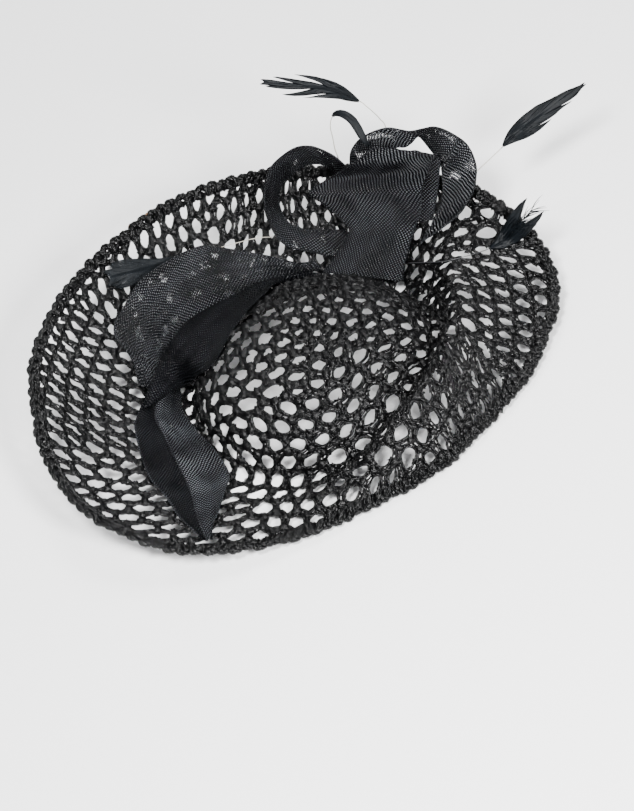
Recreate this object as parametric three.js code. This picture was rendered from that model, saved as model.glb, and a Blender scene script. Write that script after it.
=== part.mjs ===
// Open-weave plate fascinator: a blocked raffia net with a sinamay swathe, a bow and five feathers.
// Millimetres, +Z up. +X runs along the plate's long axis and the near side of the brim is towards -Y.
// It lies as on a shelf: the head ring and the near rim touch the floor plane.
import * as THREE from 'three';

const DEG = Math.PI / 180;

// Driving sizes
const NET_THICK = 2.6;
const RIM_THICK = 6;
const RIM_BAND = 9;
const CLOTH_THICK = 1;
const FEATHER_THICK = 1;
const CROWN_HEIGHT = 43;
const STITCH_GAP = 0.95;
const FLOOR_Z = 1.4;

// The net's grid: columns round the plate, and rows from the crown's tip to the rim
const NET_COLUMNS = 96;
const TIP_ROWS = [0.06, 0.12];
const LENGTH_SAMPLES = 160;

// Puts the middle of the bounding box over the origin and the floor plane at zero
const ORIGIN_SHIFT = new THREE.Vector3(-22.47, -15.64, -FLOOR_Z);

// The crown's control points, from the tip down to the shoulder, the same all round
const CROWN_CONTROL = [
  { radius: 0, drop: 0 },
  { radius: 24, drop: 0 },
  { radius: 49, drop: 4 },
  { radius: 68, drop: 21 },
];

// The brim's control points, one row for each 22.5 degrees of azimuth from +X.
// Each pair is a radius and a height: the head ring's valley, the fold, the slope and the rim.
const BRIM_COLUMNS = ['valleyR', 'valleyZ', 'foldR', 'foldZ', 'slopeR', 'slopeZ', 'rimR', 'rimZ'];
const BRIM = [
  [75, 4, 91, 49, 112, 16, 151, 15],
  [75, -4, 99, 43, 119, 23, 146, 37],
  [75, -4, 90, 17, 115, 27, 137.5, 43.5],
  [75, -5, 90, 11, 115, 26, 138, 46],
  [75, -5, 90, 10, 117, 26, 145.5, 50.5],
  [75, -5, 92, 10, 122, 27, 153, 51.5],
  [75, -5, 94, 10, 128, 27, 163, 46],
  [75, -5, 95, 9, 131, 23, 164, 45.5],
  [75, -4, 95, 8, 131, 19, 162, 34],
  [75, -4, 95, 7, 130, 15, 160, 29.5],
  [75, -4, 92, 6, 122, 9, 146, 15],
  [75, -3, 88, 8, 108, 5, 125.5, 6.5],
  [75, 4, 85, 17, 100, 10, 113, 2.5],
  [75, 13, 85, 39, 101, 15, 113.5, 1.5],
  [75, 12, 85, 50, 104, 15, 118.5, 3],
  [75, 8, 86, 53, 108, 12, 134, 6],
];

// The five rings of gaps in the net, inside to outside: how many, and how many columns each is open
const GAP_RINGS = [
  { count: 12, openColumns: 4 },
  { count: 16, openColumns: 3 },
  { count: 24, openColumns: 2 },
  { count: 24, openColumns: 2 },
  { count: 24, openColumns: 2 },
];
const GAP_ROWS = 2;
const GAP_CORNER_CUT = 0.4;

// Bands of sinamay. Each row is one point on the first edge and one on the second: x, y, z, x, y, z.
const SWATHE_UPPER = [
  [25, 88, 12, 26, 83, 7],
  [14, 90, 15, 18, 85, 10],
  [2, 96, 21, 10, 84, 12],
  [-9, 101, 26, 0, 87, 12],
  [-23, 107, 32, -18, 84, 14],
  [-34, 110, 37, -40, 80, 16],
  [-53, 106, 40, -60, 72, 18],
  [-75, 98, 40, -73, 63, 17],
  [-90, 85, 36, -78, 57, 16],
  [-100, 74, 31, -83, 50, 14],
  [-96, 56, 23, -86, 38, 13],
  [-97, 36, 19, -88, 31, 13],
];
const SWATHE_FOLD = [
  [24, 78, 11, 28, 74, 8],
  [16, 80, 14, 21, 76, 10],
  [1, 83, 16, 11, 79, 11],
  [-13, 83, 17, -8, 50, 36],
  [-28, 80, 18, -24, 36, 40],
  [-42, 76, 20, -37, 24, 39],
  [-58, 69, 22, -48, 12, 37],
  [-68, 61, 22, -59, 12, 29],
  [-79, 49, 22, -72, 32, 9],
  [-91, 31, 20, -80, 28, 13],
  [-100, 17, 18, -93, 20, 16],
];
const SWATHE_TAIL = [
  [-92, 32, 12, -76, 37, 4],
  [-100, 24, 14, -78, 30, 5],
  [-106, 12, 15, -80, 15, 5],
  [-108, 2, 15, -75, -7, 7],
  [-109, -19, 15, -70, -29, 10],
  [-108, -37, 14, -67, -47, 6],
  [-103, -54, 14, -72, -61, 8],
  [-100, -72, 14, -78, -75, 11],
  [-95, -86, 14, -84, -87, 12],
  [-90, -98, 14, -87, -98, 13],
];
const BOW_LEFT_LOOP = [
  [44, 76, 12, 48, 92, 22],
  [36, 83, 14, 40, 96, 24],
  [25, 86, 22, 30, 98, 27],
  [15, 89, 28, 24, 102, 28],
  [10, 92, 34, 19, 106, 31],
  [8, 97, 40, 17, 111, 35],
  [8, 103, 49, 17, 116, 39],
  [11, 109, 56, 19, 119, 44],
  [15, 113, 63, 23, 122, 49],
  [21, 112, 72, 30, 119, 55],
  [30, 108, 80, 36, 116, 60],
  [38, 105, 84, 43, 112, 63],
  [45, 102, 84, 49, 109, 62],
  [51, 105, 76, 54, 111, 53],
  [57, 107, 66, 56, 111, 44],
  [61, 107, 57, 59, 108, 39],
];
const BOW_CENTER_FOLD = [
  [26, 77, 12, 67, 41, 14],
  [33, 76, 18, 70, 43, 21],
  [45, 79, 27, 77, 48, 30],
  [50, 82, 32, 83, 54, 35],
  [46, 91, 38, 90, 60, 40],
  [41, 98, 44, 94, 64, 45],
  [36, 104, 50, 97, 68, 51],
  [52, 102, 56, 104, 72, 58],
  [64, 84, 74, 108, 72, 65],
  [78, 83, 80, 111, 72, 67],
  [81, 87, 76, 113, 76, 62],
  [82, 89, 68, 111, 75, 56],
  [79, 86, 45, 104, 72, 39],
  [75, 73, 29, 96, 62, 31],
];
const BOW_RIGHT_LOOP = [
  [64, 103, 58, 70, 97, 36],
  [67, 103, 67, 76, 98, 48],
  [72, 101, 74, 82, 97, 58],
  [78, 99, 78, 88, 95, 65],
  [85, 97, 80, 93, 91, 68],
  [92, 95, 80, 97, 90, 67],
  [98, 93, 77, 101, 90, 68],
  [103, 91, 75, 106, 91, 70],
  [110, 89, 75, 108, 92, 66],
  [116, 87, 75, 110, 92, 59],
  [121, 85, 72, 112, 91, 52],
  [126, 82, 67, 113, 85, 50],
  [130, 78, 62, 112, 79, 48],
  [131, 71, 58, 110, 73, 46],
  [130, 65, 53, 108, 69, 42],
  [127, 60, 49, 105, 66, 38],
  [124, 57, 45, 101, 63, 35],
  [118, 54, 41, 97, 60, 33],
  [113, 53, 37, 94, 57, 31],
  [106, 52, 34, 91, 56, 30],
  [98, 51, 32, 87, 51, 29],
  [91, 49, 30, 84, 49, 27],
];

// Feathers. Each row is a point on the quill's line and half the feather's width there.
const FEATHER_LEFT_UP = [
  [85.6, 99.2, 45.2, 0.7],
  [88.7, 107, 55.1, 0.7],
  [91.2, 107, 72.2, 0.7],
  [89.7, 107, 79.2, 0.7],
  [87.2, 107, 86, 0.7],
  [84.5, 107, 92, 0.8],
  [82.6, 108, 95.3, 0.9],
  [77.6, 109, 100.9, 2.3],
  [71.2, 110, 108, 3.7],
  [62.3, 112, 114, 5.5],
  [52.8, 113, 118.7, 7.2],
  [44.6, 115, 122.4, 6.3],
  [37.5, 116, 126.7, 4],
  [33.9, 117, 128.2, 2],
];
const FEATHER_RIGHT_UP = [
  [113.9, 62.2, 37.2, 0.7],
  [122.4, 65.5, 42.3, 0.7],
  [129.7, 70, 45.7, 0.7],
  [139.8, 77, 45, 0.7],
  [149.2, 83, 44.7, 1],
  [157.6, 86, 47.2, 4.4],
  [167.1, 90, 47.2, 6.7],
  [177.6, 91, 50.3, 6.4],
  [188.6, 92, 53.1, 4.4],
  [198.1, 93, 54.7, 3.5],
  [207.4, 95, 56.4, 0.7],
];
const FEATHER_CURLED = [
  [59, 115, 42.8, 0.7],
  [59.3, 113, 58, 0.7],
  [59.3, 112, 66.8, 0.7],
  [60.3, 111, 76.6, 0.7],
  [60.9, 110, 84.2, 0.7],
  [62.8, 109, 90.4, 0.8],
  [66, 106, 95.8, 1],
  [70.2, 103, 96, 1.8],
  [73.5, 99, 93.1, 2.3],
  [74.9, 95, 88.8, 2.4],
  [75.8, 91, 83.7, 2.2],
  [77, 89, 79.1, 0.9],
];
const FEATHER_RIGHT_EDGE = [
  [73.7, 47.5, 20, 0.7],
  [82.4, 36.3, 25.4, 0.7],
  [93.1, 21.1, 33.9, 0.7],
  [107.2, 20.8, 31.6, 0.7],
  [118.3, 23.8, 28.1, 0.9],
  [126, 24.6, 28, 1.7],
  [131.6, 26.3, 28.8, 3.7],
  [138.1, 24, 35.4, 6.9],
  [145.7, 25, 40.2, 8.6],
  [153.4, 26, 45, 8],
  [158, 27, 47.4, 5.1],
];
const FEATHER_LEFT_EDGE = [
  [6.2, 108.5, 25.1, 0.7],
  [-2.3, 111, 26.6, 0.7],
  [-12.5, 111.9, 27.8, 0.7],
  [-23.5, 112.3, 29.1, 0.7],
  [-40.1, 112.2, 31.1, 0.8],
  [-57.8, 109.7, 35.3, 1.8],
  [-67.5, 108.4, 37.8, 4.1],
  [-77.5, 106.6, 41.6, 7.1],
  [-86.3, 105.8, 44, 8.5],
  [-92.4, 104.8, 45.5, 4.7],
];
// The feathers' flat sides face the near side of the brim, this far above the level
const FEATHER_FACE = new THREE.Vector3(0, -Math.cos(43 * DEG), Math.sin(43 * DEG));

// The hair comb under the brim
const COMB = {
  length: 42, spineHeight: 4, thickness: 1.8, teeth: 12, toothLength: 11, toothShare: 0.5,
  center: new THREE.Vector3(73.2, -45, 14), lean: 24 * DEG,
};

/** Catmull-Rom blend of four equal-length number rows at a fraction between the middle two. */
function catmull(p0, p1, p2, p3, f) {
  return p1.map((value, i) => 0.5 * (2 * value + (p2[i] - p0[i]) * f
    + (2 * p0[i] - 5 * value + 4 * p2[i] - p3[i]) * f * f
    + (3 * value - p0[i] - 3 * p2[i] + p3[i]) * f * f * f));
}

/** The brim's control row at any azimuth in radians, read round the closed table. */
function brimRow(azimuth) {
  const count = BRIM.length;
  const turns = azimuth / (2 * Math.PI);
  const t = (turns - Math.floor(turns)) * count;
  const i = Math.floor(t);
  const row = (k) => BRIM[(i + k + count) % count];
  const values = catmull(row(-1), row(0), row(1), row(2), t - i);
  return Object.fromEntries(BRIM_COLUMNS.map((name, k) => [name, values[k]]));
}

/** A clamped cubic B-spline through [radius, height] control points, at s from 0 to 1. */
function bspline(control, s) {
  const degree = 3;
  const spans = control.length - degree;
  const knot = (i) => Math.min(Math.max(i - degree, 0), spans) / spans;
  const clamped = Math.min(Math.max(s, 0), 1 - 1e-9);
  const span = degree + Math.min(Math.floor(clamped * spans), spans - 1);
  const d = Array.from({ length: degree + 1 }, (_, j) => [...control[span - degree + j]]);
  for (let r = 1; r <= degree; r += 1) {
    for (let j = degree; j >= r; j -= 1) {
      const low = knot(span - degree + j);
      const high = knot(span + 1 + j - r);
      const a = (clamped - low) / (high - low);
      d[j] = d[j].map((value, k) => (1 - a) * d[j - 1][k] + a * value);
    }
  }
  return d[degree];
}

/** The plate's section at one azimuth: its control points from the crown's tip to the rim. */
function sectionControl(azimuth) {
  const b = brimRow(azimuth);
  return [
    ...CROWN_CONTROL.map((c) => [c.radius, CROWN_HEIGHT - c.drop]),
    [b.valleyR, b.valleyZ],
    [b.foldR, b.foldZ],
    [b.slopeR, b.slopeZ],
    [b.rimR, b.rimZ],
  ];
}

/** One section measured along its length, so that points can be asked for in millimetres. */
class Section {
  constructor(azimuth) {
    this.azimuth = azimuth;
    const control = sectionControl(azimuth);
    this.points = [];
    this.lengths = [0];
    for (let i = 0; i <= LENGTH_SAMPLES; i += 1) {
      this.points.push(bspline(control, i / LENGTH_SAMPLES));
      if (i > 0) {
        const [r0, z0] = this.points[i - 1];
        const [r1, z1] = this.points[i];
        this.lengths.push(this.lengths[i - 1] + Math.hypot(r1 - r0, z1 - z0));
      }
    }
    this.length = this.lengths[LENGTH_SAMPLES];
  }

  /** Radius and height at a distance from the crown's tip. */
  at(distance) {
    const target = Math.min(Math.max(distance, 0), this.length);
    let i = 1;
    while (i < LENGTH_SAMPLES && this.lengths[i] < target) i += 1;
    const f = (target - this.lengths[i - 1]) / (this.lengths[i] - this.lengths[i - 1]);
    const [r0, z0] = this.points[i - 1];
    const [r1, z1] = this.points[i];
    return [r0 + (r1 - r0) * f, z0 + (z1 - z0) * f];
  }

  /** The plate's point in space at a distance from the crown's tip. */
  pointAt(distance) {
    const [r, z] = this.at(distance);
    return new THREE.Vector3(r * Math.cos(this.azimuth), r * Math.sin(this.azimuth), z);
  }

  /** Height of the plate at a radius, or null past the rim. */
  heightAt(radius) {
    if (radius > this.points[LENGTH_SAMPLES][0]) return null;
    let i = 1;
    while (i < LENGTH_SAMPLES && this.points[i][0] < radius) i += 1;
    const [r0, z0] = this.points[i - 1];
    const [r1, z1] = this.points[i];
    return z0 + ((z1 - z0) * (radius - r0)) / (r1 - r0);
  }
}

const sectionCache = new Map();

/** The section at an azimuth in radians, kept once measured. */
function sectionAt(azimuth) {
  const key = Math.round((azimuth / DEG) * 20);
  if (!sectionCache.has(key)) sectionCache.set(key, new Section((key / 20) * DEG));
  return sectionCache.get(key);
}

/** Height of the plate's middle surface over a point of the plan, or null past the rim. */
function plateHeight(x, y) {
  return sectionAt(Math.atan2(y, x)).heightAt(Math.hypot(x, y));
}

/** The lowest height a band of cloth may have at a point so that it rests on the net. */
function restingHeight(x, y) {
  const z = plateHeight(x, y);
  if (z === null) return -Infinity;
  const step = 1;
  const slopeX = ((plateHeight(x + step, y) ?? z) - (plateHeight(x - step, y) ?? z)) / (2 * step);
  const slopeY = ((plateHeight(x, y + step) ?? z) - (plateHeight(x, y - step) ?? z)) / (2 * step);
  const toRim = sectionAt(Math.atan2(y, x)).points[LENGTH_SAMPLES][0] - Math.hypot(x, y);
  const half = toRim < RIM_BAND + 2 ? RIM_THICK / 2 : NET_THICK / 2;
  const clear = half + CLOTH_THICK / 2 + STITCH_GAP;
  return z + clear * Math.hypot(1, slopeX, slopeY);
}

/** An indexed geometry from points and triangles. */
function geometryOf(points, triangles) {
  const geometry = new THREE.BufferGeometry();
  geometry.setAttribute('position', new THREE.Float32BufferAttribute(points.flatMap((p) => [p.x, p.y, p.z]), 3));
  geometry.setIndex(triangles.flat());
  geometry.computeVertexNormals();
  return geometry;
}

/** Surface normals of a grid of points, from its neighbours along both directions. */
function gridNormals(grid) {
  const rows = grid.length;
  const columns = grid[0].length;
  const pick = (i, j) => grid[Math.min(Math.max(i, 0), rows - 1)][Math.min(Math.max(j, 0), columns - 1)];
  return grid.map((row, i) => row.map((_, j) => {
    const along = pick(i + 1, j).clone().sub(pick(i - 1, j));
    const across = pick(i, j + 1).clone().sub(pick(i, j - 1));
    return along.cross(across).normalize();
  }));
}

/** A closed sheet: the grid moved half a thickness both ways, and joined round its four edges. */
function closedSheet(grid, thickness) {
  const rows = grid.length;
  const columns = grid[0].length;
  const normals = gridNormals(grid);
  const points = [];
  [0.5, -0.5].forEach((side) => grid.forEach((row, i) => row.forEach((p, j) => {
    points.push(p.clone().addScaledVector(normals[i][j], side * thickness));
  })));
  const top = (i, j) => i * columns + j;
  const under = (i, j) => rows * columns + top(i, j);
  const triangles = [];
  const quad = (a, b, c, d) => triangles.push([a, b, c], [a, c, d]);
  for (let i = 0; i < rows - 1; i += 1) {
    for (let j = 0; j < columns - 1; j += 1) {
      quad(top(i, j), top(i + 1, j), top(i + 1, j + 1), top(i, j + 1));
      quad(under(i, j), under(i, j + 1), under(i + 1, j + 1), under(i + 1, j));
    }
  }
  for (let i = 0; i < rows - 1; i += 1) {
    quad(top(i, 0), under(i, 0), under(i + 1, 0), top(i + 1, 0));
    quad(top(i, columns - 1), top(i + 1, columns - 1), under(i + 1, columns - 1), under(i, columns - 1));
  }
  for (let j = 0; j < columns - 1; j += 1) {
    quad(top(0, j), top(0, j + 1), under(0, j + 1), under(0, j));
    quad(top(rows - 1, j), under(rows - 1, j), under(rows - 1, j + 1), top(rows - 1, j + 1));
  }
  return geometryOf(points, triangles);
}

/** Rows read smoothly along a table at a fraction of its length from 0 to 1. */
function alongTable(table, fraction) {
  const last = table.length - 1;
  const t = Math.min(Math.max(fraction * last, 0), last - 1e-9);
  const i = Math.floor(t);
  const row = (k) => table[Math.min(Math.max(i + k, 0), last)];
  return catmull(row(-1), row(0), row(1), row(2), t - i);
}

/** A band of cloth between two edges, rounded up between them and kept clear of the net. */
function clothBand(table, { steps, across, bulge }) {
  const grid = [];
  for (let i = 0; i <= steps; i += 1) {
    const [ax, ay, az, bx, by, bz] = alongTable(table, i / steps);
    const a = new THREE.Vector3(ax, ay, az);
    const b = new THREE.Vector3(bx, by, bz);
    const row = [];
    for (let j = 0; j <= across; j += 1) {
      const w = j / across;
      const p = a.clone().lerp(b, w).addScaledVector(FEATHER_FACE, bulge * Math.sin(Math.PI * w));
      p.z = Math.max(p.z, restingHeight(p.x, p.y));
      row.push(p);
    }
    grid.push(row);
  }
  return closedSheet(grid, CLOTH_THICK);
}

/** A feather as one flat blade: a bare quill that widens into its vane. */
function feather(table, steps) {
  const grid = [];
  for (let i = 0; i <= steps; i += 1) {
    const [x, y, z, half] = alongTable(table, i / steps);
    const ahead = alongTable(table, Math.min(i / steps + 0.01, 1));
    const behind = alongTable(table, Math.max(i / steps - 0.01, 0));
    const along = new THREE.Vector3(ahead[0] - behind[0], ahead[1] - behind[1], ahead[2] - behind[2]);
    const side = along.cross(FEATHER_FACE).normalize();
    const mid = new THREE.Vector3(x, y, z);
    grid.push([-1, 0, 1].map((k) => mid.clone().addScaledVector(side, k * half)));
  }
  return closedSheet(grid, FEATHER_THICK);
}

/** Distances from the crown's tip to each row of the net, along one section. */
function netRows(length) {
  const first = TIP_ROWS[TIP_ROWS.length - 1] * length;
  const last = length - RIM_BAND;
  const between = GAP_RINGS.length * (GAP_ROWS + 1) - 1;
  const rows = TIP_ROWS.slice(0, -1).map((share) => share * length);
  for (let k = 0; k <= between; k += 1) rows.push(first + ((last - first) * k) / between);
  return [...rows, length - RIM_BAND / 2, length];
}

/** Whether a cell of the net's grid is open, and how far its corners are cut. */
function gapAt(column, row) {
  const first = TIP_ROWS.length - 1;
  const ring = Math.floor((row - first) / (GAP_ROWS + 1));
  const within = row - first - ring * (GAP_ROWS + 1);
  if (row < first || ring >= GAP_RINGS.length || within >= GAP_ROWS) return false;
  const { count, openColumns } = GAP_RINGS[ring];
  const period = NET_COLUMNS / count;
  const offset = ring % 2 === 0 ? 0 : Math.floor(period / 2);
  return (column + offset) % period < openColumns;
}

/** Shift of a grid point, in columns, that turns each gap's corners in to make a hexagon. */
function cornerShift(column, row) {
  const left = (column - 1 + NET_COLUMNS) % NET_COLUMNS;
  const below = gapAt(column % NET_COLUMNS, row) !== gapAt(left, row);
  const above = row > 0 && gapAt(column % NET_COLUMNS, row - 1) !== gapAt(left, row - 1);
  if (below === above) return 0;
  const open = below ? gapAt(column % NET_COLUMNS, row) : gapAt(column % NET_COLUMNS, row - 1);
  return open ? GAP_CORNER_CUT : -GAP_CORNER_CUT;
}

/** The blocked net: crown and brim in one, with its gaps cut through and a thicker rim. */
function plateNet() {
  const azimuthOf = (column) => (column * 2 * Math.PI) / NET_COLUMNS;
  const rowCount = netRows(sectionAt(0).length).length;
  const surface = (column, row) => {
    const section = sectionAt(azimuthOf(column));
    return section.pointAt(netRows(section.length)[row]);
  };
  const halfThick = (row) => {
    if (row === rowCount - 1) return RIM_THICK / 4;
    return row === rowCount - 2 ? RIM_THICK / 2 : NET_THICK / 2;
  };
  const points = [];
  [1, -1].forEach((side) => {
    for (let row = 0; row < rowCount; row += 1) {
      for (let column = 0; column < NET_COLUMNS; column += 1) {
        const at = column + cornerShift(column, row);
        const p = surface(at, row);
        const round = surface(at + 0.5, row).sub(surface(at - 0.5, row));
        const out = surface(at, Math.min(row + 1, rowCount - 1)).sub(surface(at, Math.max(row - 1, 0)));
        const normal = out.cross(round).normalize();
        p.addScaledVector(normal, side * halfThick(row));
        p.z = Math.max(p.z, FLOOR_Z);
        points.push(p);
      }
    }
  });
  const index = (side, column, row) => (side * rowCount + row) * NET_COLUMNS + (column % NET_COLUMNS);
  const triangles = [];
  const quad = (a, b, c, d) => triangles.push([a, b, c], [a, c, d]);
  const solid = (column, row) => row >= 0 && row < rowCount - 1
    && !gapAt((column + NET_COLUMNS) % NET_COLUMNS, row);
  for (let row = 0; row < rowCount - 1; row += 1) {
    for (let column = 0; column < NET_COLUMNS; column += 1) {
      if (!solid(column, row)) continue;
      const corners = (side) => [
        index(side, column, row), index(side, column, row + 1),
        index(side, column + 1, row + 1), index(side, column + 1, row),
      ];
      const [t0, t1, t2, t3] = corners(0);
      const [u0, u1, u2, u3] = corners(1);
      quad(t0, t1, t2, t3);
      quad(u0, u3, u2, u1);
      if (!solid(column - 1, row)) quad(t0, u0, u1, t1);
      if (!solid(column + 1, row)) quad(t3, t2, u2, u3);
      if (row > 0 && !solid(column, row - 1)) quad(t0, t3, u3, u0);
      if (!solid(column, row + 1)) quad(t1, u1, u2, t2);
    }
  }
  const tip = [1, -1].map((side) => {
    points.push(new THREE.Vector3(0, 0, CROWN_HEIGHT + (side * NET_THICK) / 2));
    return points.length - 1;
  });
  for (let column = 0; column < NET_COLUMNS; column += 1) {
    triangles.push([tip[0], index(0, column, 0), index(0, column + 1, 0)]);
    triangles.push([tip[1], index(1, column + 1, 0), index(1, column, 0)]);
  }
  return geometryOf(points, triangles);
}

/** A flat hair comb: a straight spine with tapered teeth hanging from it. */
function hairComb() {
  const { length, spineHeight, thickness, teeth, toothLength, toothShare } = COMB;
  const pitch = length / teeth;
  const shape = new THREE.Shape();
  shape.moveTo(-length / 2, spineHeight);
  for (let i = 0; i < teeth; i += 1) {
    const mid = -length / 2 + (i + 0.5) * pitch;
    const half = (pitch * toothShare) / 2;
    shape.lineTo(mid - half, 0);
    shape.lineTo(mid - half / 2, -toothLength);
    shape.lineTo(mid + half / 2, -toothLength);
    shape.lineTo(mid + half, 0);
  }
  shape.lineTo(length / 2, spineHeight);
  const geometry = new THREE.ExtrudeGeometry(shape, { depth: thickness, bevelEnabled: false });
  geometry.deleteAttribute('uv');
  geometry.deleteAttribute('normal');
  return geometry.translate(0, 0, -thickness / 2);
}

const RAFFIA = new THREE.MeshStandardMaterial({ color: '#1b1b1d', roughness: 0.45, metalness: 0 });
const SINAMAY = new THREE.MeshStandardMaterial({ color: '#22262b', roughness: 0.6, metalness: 0 });
const PLUME = new THREE.MeshStandardMaterial({ color: '#20252b', roughness: 0.5, metalness: 0 });
const COMB_PLASTIC = new THREE.MeshStandardMaterial({ color: '#3a343a', roughness: 0.4, metalness: 0 });

const fascinator = new THREE.Group();
fascinator.name = 'plate_fascinator';

/** Adds one named piece, moved by the shift that puts the origin under the whole. */
function addPiece(name, geometry, material) {
  const mesh = new THREE.Mesh(geometry, material);
  mesh.name = name;
  mesh.position.copy(ORIGIN_SHIFT);
  fascinator.add(mesh);
  return mesh;
}

addPiece('plate_net', plateNet(), RAFFIA);
addPiece('swathe_upper', clothBand(SWATHE_UPPER, { steps: 24, across: 4, bulge: 3 }), SINAMAY);
addPiece('swathe_fold', clothBand(SWATHE_FOLD, { steps: 22, across: 4, bulge: 5 }), SINAMAY);
addPiece('swathe_tail', clothBand(SWATHE_TAIL, { steps: 18, across: 4, bulge: 5 }), SINAMAY);
addPiece('bow_left_loop', clothBand(BOW_LEFT_LOOP, { steps: 32, across: 2, bulge: 0 }), SINAMAY);
addPiece('bow_center_fold', clothBand(BOW_CENTER_FOLD, { steps: 30, across: 3, bulge: 3 }), SINAMAY);
addPiece('bow_right_loop', clothBand(BOW_RIGHT_LOOP, { steps: 38, across: 2, bulge: 0 }), SINAMAY);
addPiece('feather_left_up', feather(FEATHER_LEFT_UP, 26), PLUME);
addPiece('feather_right_up', feather(FEATHER_RIGHT_UP, 20), PLUME);
addPiece('feather_curled', feather(FEATHER_CURLED, 24), PLUME);
addPiece('feather_right_edge', feather(FEATHER_RIGHT_EDGE, 22), PLUME);
addPiece('feather_left_edge', feather(FEATHER_LEFT_EDGE, 20), PLUME);

const comb = addPiece('hair_comb', hairComb(), COMB_PLASTIC);
const alongSpine = new THREE.Vector3(0, 1, 0);
const upTeeth = new THREE.Vector3(Math.sin(COMB.lean), 0, Math.cos(COMB.lean));
const throughComb = alongSpine.clone().cross(upTeeth);
comb.quaternion.setFromRotationMatrix(new THREE.Matrix4().makeBasis(alongSpine, upTeeth, throughComb));
comb.position.add(COMB.center);

export default fascinator;
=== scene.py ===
"""Dresses a black open-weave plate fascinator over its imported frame.

Tables and sizes are millimetres measured from the crown's axis, with z up. Every mesh is moved
into the frame's metres when it is made. "Distance" on the plate is the length along its section
from the crown's tip, and "azimuth" is the angle round the crown from +X, in radians.
"""

import logging
from dataclasses import dataclass, field, replace
from enum import Enum
from typing import Sequence

import bpy
import bmesh
import numpy as np
from mathutils import Matrix, Vector
from mathutils.geometry import delaunay_2d_cdt

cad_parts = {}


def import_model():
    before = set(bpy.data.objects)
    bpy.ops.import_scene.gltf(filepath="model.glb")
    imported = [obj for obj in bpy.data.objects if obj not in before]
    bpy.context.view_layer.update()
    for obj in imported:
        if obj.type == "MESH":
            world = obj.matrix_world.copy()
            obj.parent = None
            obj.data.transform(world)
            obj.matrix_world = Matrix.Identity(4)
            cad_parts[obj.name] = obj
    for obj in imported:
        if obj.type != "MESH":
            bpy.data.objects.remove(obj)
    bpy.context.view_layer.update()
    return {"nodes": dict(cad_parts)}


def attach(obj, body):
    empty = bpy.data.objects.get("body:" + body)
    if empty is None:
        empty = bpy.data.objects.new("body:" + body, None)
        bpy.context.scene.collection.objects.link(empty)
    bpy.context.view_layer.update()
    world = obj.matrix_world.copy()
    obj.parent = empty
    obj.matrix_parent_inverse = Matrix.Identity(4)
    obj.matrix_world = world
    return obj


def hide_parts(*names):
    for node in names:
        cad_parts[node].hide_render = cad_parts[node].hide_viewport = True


LOG = logging.getLogger("fascinator")
MM = 0.001
FULL_TURN = 2 * np.pi
# Random phases are drawn from nought to this, about a full turn.
ANY_PHASE = 6.3
# The least length that a vector is divided by.
TINY = 1e-12
# How far short of a curve's end a place stops, so that there is always a row ahead of it.
JUST_SHORT = 1e-9
# Most of a noise's values lie between these.
NOISE_MIDDLE = (0.35, 0.65)
# From the crown's axis to the middle of the fascinator's box, down to the surface it rests on.
ORIGIN_SHIFT = np.array([-22.47, -15.64, -1.4])
LOWEST = 1.4
# The way the trim's upper side faces: it is arched and pleated towards the front and up.
TRIM_RISE = np.radians(43)
NEAR_FACE = np.array([0.0, -np.cos(TRIM_RISE), np.sin(TRIM_RISE)])
# Cloth that goes once round a rolled hem.
HEM_GIRTH = 6.0
# The rows that a smooth curve reads on either side of a place in a table.
NEIGHBOURS = (-1, 0, 1, 2)


class Slot(Enum):
    """The record's material slots, by name."""

    RAFFIA = "raffia"
    SINAMAY = "sinamay"
    PLUME = "plume"


class Held(Enum):
    """How a band of cloth is held."""

    GATHERED = "gathered"
    FOLDED = "folded"


class Weave(Enum):
    """What shows of the sinamay's weave, and which parts of it are painted lit or shaded."""

    SINGLE = "single"
    DOUBLE = "double"
    LIT = "lit"
    SHADED = "turned"


# Curves and surfaces
def unit(vectors: np.ndarray) -> np.ndarray:
    """Vectors over their own lengths, for any array whose last axis is x, y, z."""
    return vectors / np.maximum(np.linalg.norm(vectors, axis=-1, keepdims=True), TINY)


def catmull_rom(rows: Sequence[np.ndarray], share: np.ndarray) -> np.ndarray:
    """Reads between the middle two of four rows, on the smooth cubic curve through them all.

    Args:
        rows: the row before, the rows on either side of the place, and the row after.
        share: how far each place is from the second row to the third.

    Returns:
        One row for each place.
    """
    before, first, second, after = rows
    return 0.5 * (2 * first + (second - before) * share
                  + (2 * before - 5 * first + 4 * second - after) * share**2
                  + (3 * first - before - 3 * second + after) * share**3)


def along_table(table: np.ndarray, fraction: np.ndarray) -> np.ndarray:
    """Reads rows smoothly along a table.

    Args:
        table: rows of numbers.
        fraction: places along the table, 0 at the first row and 1 at the last.

    Returns:
        One row for each place.
    """
    last = len(table) - 1
    place = np.clip(fraction * last, 0, last - JUST_SHORT)
    row = np.floor(place).astype(int)
    near = [table[np.clip(row + k, 0, last)] for k in NEIGHBOURS]
    return catmull_rom(near, (place - row)[..., None])


def round_table(table: np.ndarray, turns: np.ndarray) -> np.ndarray:
    """Reads rows smoothly round a closed table.

    Args:
        table: rows of numbers, evenly spaced round a full turn.
        turns: places as shares of a turn.

    Returns:
        One row for each place.
    """
    place = (turns % 1.0) * len(table)
    row = np.floor(place).astype(int)
    near = [table[(row + k) % len(table)] for k in NEIGHBOURS]
    return catmull_rom(near, (place - row)[..., None])


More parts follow.
